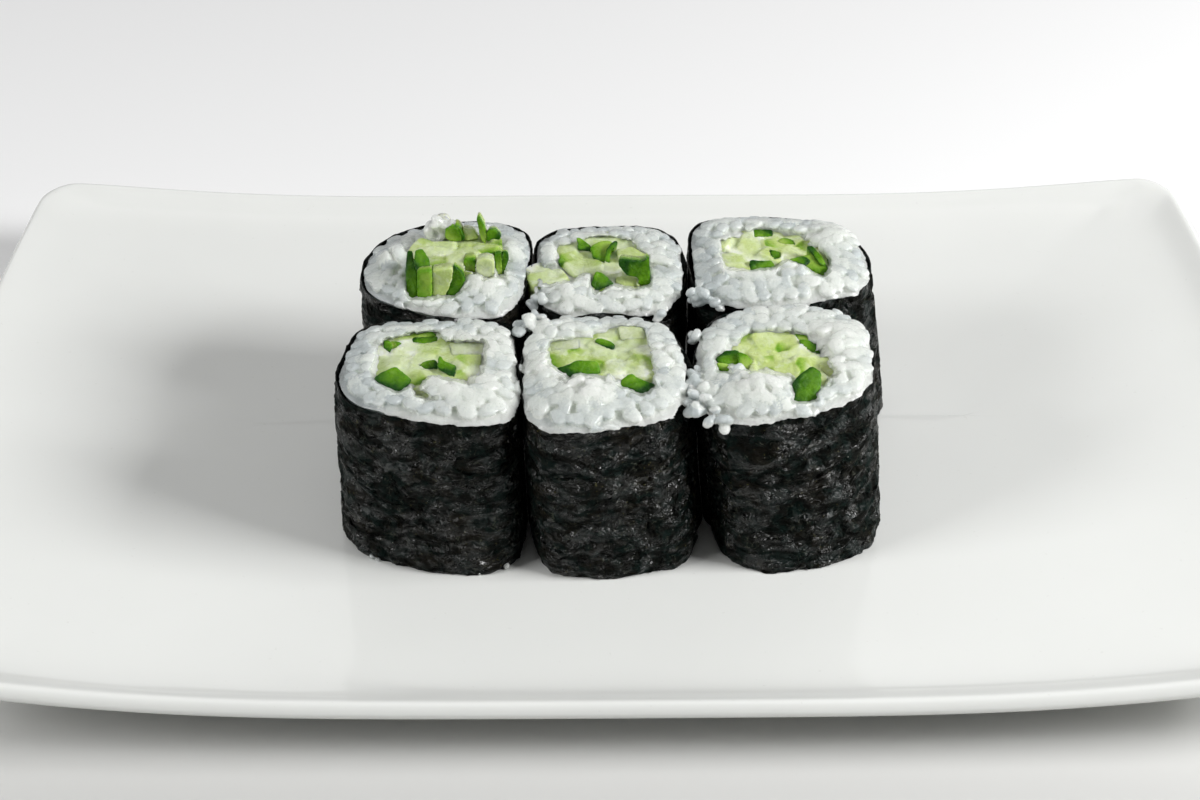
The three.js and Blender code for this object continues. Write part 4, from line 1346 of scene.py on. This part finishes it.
def cucumber_material(colours):
    """Cucumber; the attribute 'depth' says how far under the skin a point was, in millimetres."""
    shader = Shader("cucumber")
    depth = shader.attribute("depth")
    ripe = shader.attribute("ripe")
    uneven = shader.noise(1.3, detail=3, roughness=0.6)
    streaks = shader.noise(0.9, detail=3, stretch=(1, 1, 3))
    flesh = tuple(colours.flesh)
    skin = shader.mix(shader.smooth(streaks, 0.44, 0.62), colours.skin, (0.015, 0.088, 0.001))
    under = shader.ramp(
        (depth + uneven * 1.2 - 0.6) * 0.125,
        [
            (0.02, (0.028, 0.122, 0.001)),
            (0.09, (0.108, 0.275, 0.005)),
            (0.18, (0.29, 0.46, 0.06)),
            (0.30, tuple(c * f for c, f in zip(flesh, (0.80, 0.88, 0.55)))),
            (0.50, flesh),
            (0.75, tuple(c * f for c, f in zip(flesh, (1.20, 1.14, 1.55)))),
            (0.98, (0.80, 0.84, 0.70)),
        ],
    )
    tone = shader.mix(shader.smooth(depth + uneven * 0.3 - 0.15, 0.10, 0.42), skin, under)
    bare = shader.smooth(depth, 1.4, 2.6) * (1 - shader.smooth(depth, 7.2, 8.2))
    wet = shader.smooth(shader.noise(2.2, detail=4, roughness=0.62), 0.42, 0.66)
    tone = shader.mix(wet * 0.45 * bare, tone, (0.36, 0.44, 0.16))
    tone = shader.mix(ripe * 0.5 * bare, tone, (0.62, 0.72, 0.26))
    milky = shader.smooth(shader.noise(2.8, detail=4, roughness=0.6, distortion=0.4), 0.50, 0.66)
    tone = shader.mix(milky * 0.55 * bare, tone, (0.66, 0.72, 0.54))
    cells = shader.noise(0.55, detail=3)
    tint = shader.mix(shader.smooth(cells, 0.50, 0.72) * 0.25 * bare, tone, (0.72, 0.80, 0.50))
    relief = shader.bump(shader.noise(0.9, detail=5, roughness=0.68), 0.30)
    return shader.finish(
        Base_Color=tint,
        Roughness=shader.noise(0.9, detail=2) * 0.35 + 0.12,
        IOR=1.31,
        Normal=relief,
        Subsurface_Weight=0.6,
        Subsurface_Radius=(1, 1, 0.5),
        Subsurface_Scale=0.0016,
    )


# How deep under the skin a stick's face lies, from about where to where across it, in millimetres.
FINISHES = {
    "skin": (0.0, 0.8),
    "rind": (0.35, 1.7),
    "flesh": (2.2, 3.4),
    "pale": (5.0, 7.0),
    "cream": (7.4, 9.0),
}


EDGE_POINTS = 44  # round the face of a stick


def rounded(outline, count=EDGE_POINTS):
    """A closed outline with soft corners, as evenly spaced points that run anticlockwise."""
    outline = np.asarray(outline, float)
    for cut in (0.34, 0.14):
        edges = np.roll(outline, -1, axis=0) - outline
        share = np.minimum(0.25, cut / np.maximum(np.hypot(*edges.T), 1e-6))[:, None]
        outline = np.stack([outline + edges * share, outline + edges * (1 - share)], axis=1).reshape(-1, 2)
    following = np.roll(outline, -1, axis=0)
    if np.sum(outline[:, 0] * following[:, 1] - following[:, 0] * outline[:, 1]) < 0:
        outline = outline[::-1]
        following = np.roll(outline, -1, axis=0)
    lengths = np.hypot(*(following - outline).T)
    along = np.concatenate([[0], np.cumsum(lengths)])
    closed = np.vstack([outline, outline[:1]])
    stops = np.linspace(0, along[-1], count + 1)[:-1]
    return np.column_stack([np.interp(stops, along, closed[:, 0]), np.interp(stops, along, closed[:, 1])])


def face_of_stick(roll, finish, low, stance, outline, rng, thickness=2.6):
    """The part of a stick that stands out: its face, turned to where the outline is seen, and its body.

    Gives its points, its faces and how deep under the skin each point was.
    """
    level = Wall(roll).top
    at = np.array(ROLLS[roll]["at"])
    edge = rounded(grown(outline, 0.12)) + rng.normal(0, 0.04, (EDGE_POINTS, 2))
    foot = edge[:, 1].min()
    centre = edge.mean(axis=0)
    steep = stance * upright(roll)

    def ring(scale):
        flat = centre + (edge - centre) * scale
        return seen_at(flat + at, level, low + steep * (flat[:, 1] - foot))

    spokes = ring(1.0) - ring(1.0).mean(axis=0)
    normal = sum(np.cross(spoke, following) for spoke, following in zip(spokes, np.roll(spokes, -1, axis=0)))
    normal = normal / np.linalg.norm(normal)
    narrow = np.ptp(edge, axis=0).min()
    soft = min(0.10, narrow * 0.05)
    rings = [ring(0.90) - normal * thickness, ring(0.98) - normal * 1.0, ring(1.0) - normal * soft * 1.6]
    rings += [ring(1 - soft / narrow) - normal * soft * 0.4]
    scales = (0.88, 0.68, 0.42, 0.16)
    rings += [ring(scale) + normal * (0.05 + rng.normal(0, 0.03, (EDGE_POINTS, 1))) for scale in scales]
    outer, inner = FINISHES[finish]
    heading = rng.uniform(0, FULL_TURN)
    across = (edge - centre) @ (math.cos(heading), math.sin(heading)) / max(np.ptp(edge, axis=0))
    depths = [np.full(EDGE_POINTS, outer + 2.6), np.full(EDGE_POINTS, outer + 0.9)]
    for scale in (1.0, 0.95, *scales):
        fade = np.clip(0.5 + 1.5 * across * scale + 0.25 * (1 - scale), 0, 1.2) * (1 - 0.7 * scale**10)
        depths.append(outer + (inner - outer) * fade)
    return np.concatenate(rings), tube_faces(len(rings), EDGE_POINTS), np.concatenate(depths)


def stick_shape(width, thickness, length, rng, sides=24):
    """A square stick standing on its end, its top at the origin, with soft edges and an uneven cut."""
    angles = around(sides)
    reach = square_reach(angles, (thickness / 2, width / 2), squareness=7)
    outline = steps(angles)[:, :2] * reach[:, None]
    slope = rng.uniform(-0.16, 0.16, 2)
    rings = []
    for height, scale in ((-length, 1), (-0.3, 1), (-0.08, 0.95), (0, 0.86), (0.03, 0.5), (0.03, 0.15)):
        ring = outline * scale
        rings.append(np.column_stack([ring, height + (ring @ slope if height > -length else ring[:, 0] * 0)]))
    return np.concatenate(rings), tube_faces(len(rings), sides)


def flesh_rise(look, window, places):
    """How far the flesh in a window stands over the rim at some places, as a slope from front to back."""
    front, back, _ = look["flesh"]
    low, high = window[:, 1].min(), window[:, 1].max()
    return front + (back - front) * np.clip((places[:, 1] - low) / (high - low), 0, 1)


def flesh_sticks(roll, index, window, width):
    """The sticks that fill a window: points and faces, where they end, and their depths and headings."""
    rng = np.random.default_rng(500 + index)
    look = ROLLS[roll]
    level = Wall(roll).top
    turn = rng.uniform(-0.2, 0.2)
    spin = np.array([[math.cos(turn), math.sin(turn)], [-math.sin(turn), math.cos(turn)]])
    parts, spots, depths = [], [], []
    places = range(-9, 10)  # more than any window is wide, in sticks
    for column in places:
        for row in places:
            grid = np.array([column, row + 0.33 * (column % 3)]) @ spin * width
            place = (window.min(axis=0) + window.max(axis=0)) / 2 + grid + rng.uniform(-0.7, 0.7, 2)
            rise = flesh_rise(look, window, place[None]) + rng.normal(0, 0.16)
            if not inside(place[None], window)[0]:
                continue
            spot = seen_at((place + look["at"])[None], level, rise)[0]
            across, along = width * rng.uniform(1.2, 1.5, 2)
            points, faces = stick_shape(across, along, 5.0 + max(0, look["flesh"][0]), rng)
            turned = Matrix.Rotation(rng.uniform(-0.6, 0.6) + turn, 3, "Z")
            turned = turned @ Matrix.Rotation(rng.uniform(-0.08, 0.08), 3, "X")
            parts.append((points @ np.array(turned).T + spot, faces))
            spots.append(spot)
            depths.append((rng.choice([2.2, 3.2, 4.6, 6.0, 7.2]), rng.uniform(0, FULL_TURN)))
    return parts, np.array(spots), np.array(depths)


def flesh_depths(points, spots, depths):
    """How deep under the skin each point was: as the sticks near it, and deeper along their headings."""
    offsets = points[:, None, :2] - spots[None, :, :2]
    away = np.linalg.norm(offsets, axis=2)
    share = np.exp((away.min(axis=1, keepdims=True) - away) / 0.22)
    headings = np.stack([np.cos(depths[:, 1]), np.sin(depths[:, 1])], axis=1)
    return ((depths[:, 0] + 0.8 * (offsets * headings).sum(axis=2)) * share).sum(axis=1) / share.sum(axis=1)


def make_flesh(roll, index, sizes):
    """The wet ends of a bundle's sticks, pressed together, and how deep under the skin each point was."""
    look = ROLLS[roll]
    level = Wall(roll).top
    window = grown(look["window"], 0.9 if look["flesh"][0] < 1 else -0.7)
    parts, spots, depths = flesh_sticks(roll, index, window, sizes.stick_width / MM)
    brim = seen_at(window + look["at"], level, flesh_rise(look, window, window) - 0.7)
    parts.append((np.concatenate([brim - (0, 0, 4), brim]), tube_faces(2, len(window))))
    piece = clung(mesh_object("flesh_" + roll, *gathered(parts)), voxel=0.24, rounds=7)
    points = points_of(piece)
    depths = flesh_depths(points, spots, depths)
    points[:, 2] += 0.07 * waves(points, 1.3, index + 80, 3) * (points[:, 2] > level - 2)
    move_points(piece, carve(points, roll, depth=0.2, margin=-0.1))
    return piece, depths


def core(roll, columns=40):
    """Points and faces of the plain cucumber that runs from the plate up under the flesh."""
    middle, half = bundle_outline(roll)
    angles = around(columns)
    reach = square_reach(angles, half - 0.6)
    ring = steps(angles) * reach[:, None]
    ends = [ring + (*middle, height) for height in (TABLE_TO_WELL + 0.4, Wall(roll).top - 3.0)]
    return np.concatenate(ends), tube_faces(2, columns)


def make_bundle(roll, index, sizes):
    """One roll's cucumber: wet flesh, the sticks that stand out of it, and a core that runs to the plate."""
    rng = np.random.default_rng(700 + index)
    flesh, depths = make_flesh(roll, index, sizes)
    parts, depths = [], [depths]
    for look in ROLLS[roll]["pieces"]:
        points, faces, depth = face_of_stick(roll, *look, rng)
        parts.append((points, faces))
        depths.append(depth)
    parts.append(core(roll))
    depths.append(np.full(len(parts[-1][0]), 5.0))
    piece = joined("cucumber_sticks_" + roll, [flesh, mesh_object("sticks_" + roll, *gathered(parts))])
    set_attribute(piece, "depth", np.concatenate(depths))
    set_attribute(piece, "ripe", np.full(len(piece.data.vertices), ROLLS[roll]["flesh"][2]))
    return piece


class MAKI_OT_cucumber(bpy.types.Operator):
    """Sets a bundle of cucumber sticks in each roll"""

    bl_idname = "maki.cucumber"
    bl_label = "Cucumber"

    def execute(self, context):
        material = cucumber_material(context.scene.maki_colours)
        for index, roll in enumerate(ROLLS):
            bundle = make_bundle(roll, index + 1, context.scene.maki_sizes)
            paint(bundle, material)
            settle(bundle, "cucumber_" + roll)
        return {"FINISHED"}


# ---------------------------------------------------------------- stage


def softbox(name, azimuth, elevation, distance, size, power):
    """A soft light aimed at the plate; azimuth is in degrees from the camera's side towards +X."""
    data = bpy.data.lights.new(name, "AREA")
    data.shape = "RECTANGLE"
    data.size, data.size_y = size
    data.energy = power
    across, up = math.radians(azimuth), math.radians(elevation)
    lamp = bpy.data.objects.new(name, data)
    heading = Vector((math.sin(across) * math.cos(up), -math.cos(across) * math.cos(up), math.sin(up)))
    lamp.location = heading * distance
    lamp.rotation_euler = (Vector((0, 0, 0.02)) - lamp.location).to_track_quat("-Z", "Y").to_euler()
    bpy.context.scene.collection.objects.link(lamp)


def floor_material():
    """A plain table, paler towards the back, with painted shade: darker towards the front, where less light
    falls.
    """
    shader = Shader("pale_table")
    place = shader.add("ShaderNodeSeparateXYZ", output=1, Vector=shader.position())
    # painted shade: the colour runs from darker at the front to paler at the back, standing in for the light
    # that falls off towards the camera
    tint = shader.mix(shader.smooth(place, -110, 90), (0.60, 0.60, 0.585), (0.93, 0.93, 0.93))
    return shader.finish(Base_Color=tint, Roughness=0.6)


class MAKI_OT_stage(bpy.types.Operator):
    """Sets the pale table, the soft lights and the camera"""

    bl_idname = "maki.stage"
    bl_label = "Stage"

    def execute(self, context):
        half = 3000.0  # mm
        corners = [(-half, -half, 0), (half, -half, 0), (half, half, 0), (-half, half, 0)]
        table = mesh_object("table", corners, [(0, 1, 2, 3)])
        paint(table, floor_material())

        world = bpy.data.worlds.new("studio")
        world.use_nodes = True
        background = world.node_tree.nodes["Background"]
        background.inputs["Color"].default_value = (1.0, 1.0, 1.0, 1)
        background.inputs["Strength"].default_value = 0.07
        context.scene.world = world
        softbox("key", 76, 33, 0.8, (0.32, 0.25), 7.6)
        softbox("side", 291, 31, 0.8, (0.28, 0.25), 3.2)
        softbox("backdrop", 180, 38, 1.2, (2.0, 1.2), 3.5)
        softbox("overhead", 0, 80, 0.9, (0.5, 0.5), 0.4)

        data = bpy.data.cameras.new("camera")
        data.lens = 64.6
        data.sensor_width = 36.0
        camera = bpy.data.objects.new("camera", data)
        camera.location = [c * MM for c in CAMERA]
        camera.rotation_euler = (math.radians(90 - CAMERA_DOWN), 0, math.radians(CAMERA_TURN))
        context.scene.collection.objects.link(camera)
        context.scene.camera = camera
        context.scene.view_settings.view_transform = "Standard"
        context.scene.view_settings.look = "None"
        return {"FINISHED"}


class MAKI_PT_panel(bpy.types.Panel):
    """The plate's pieces, in the sidebar"""

    bl_idname = "MAKI_PT_panel"
    bl_label = "Cucumber Maki"
    bl_space_type = "VIEW_3D"
    bl_region_type = "UI"
    bl_category = "Maki"

    def draw(self, context):
        for group in (context.scene.maki_sizes, context.scene.maki_colours):
            box = self.layout.box()
            for name in group.__annotations__:
                box.prop(group, name)
        for operator in STEPS:
            self.layout.operator(operator.bl_idname)


STEPS = (MAKI_OT_stage, MAKI_OT_plate, MAKI_OT_nori, MAKI_OT_rice, MAKI_OT_cucumber)
CLASSES = (MakiSizes, MakiColours, *STEPS, MAKI_PT_panel)


def register():
    for cls in CLASSES:
        bpy.utils.register_class(cls)
    bpy.types.Scene.maki_sizes = PointerProperty(type=MakiSizes)
    bpy.types.Scene.maki_colours = PointerProperty(type=MakiColours)


def unregister():
    del bpy.types.Scene.maki_colours
    del bpy.types.Scene.maki_sizes
    for cls in reversed(CLASSES):
        bpy.utils.unregister_class(cls)


def main():
    register()
    bpy.ops.maki.stage()
    bpy.ops.maki.plate()
    bpy.ops.maki.nori()
    bpy.ops.maki.rice()
    bpy.ops.maki.cucumber()


if __name__ == "__main__":
    main()
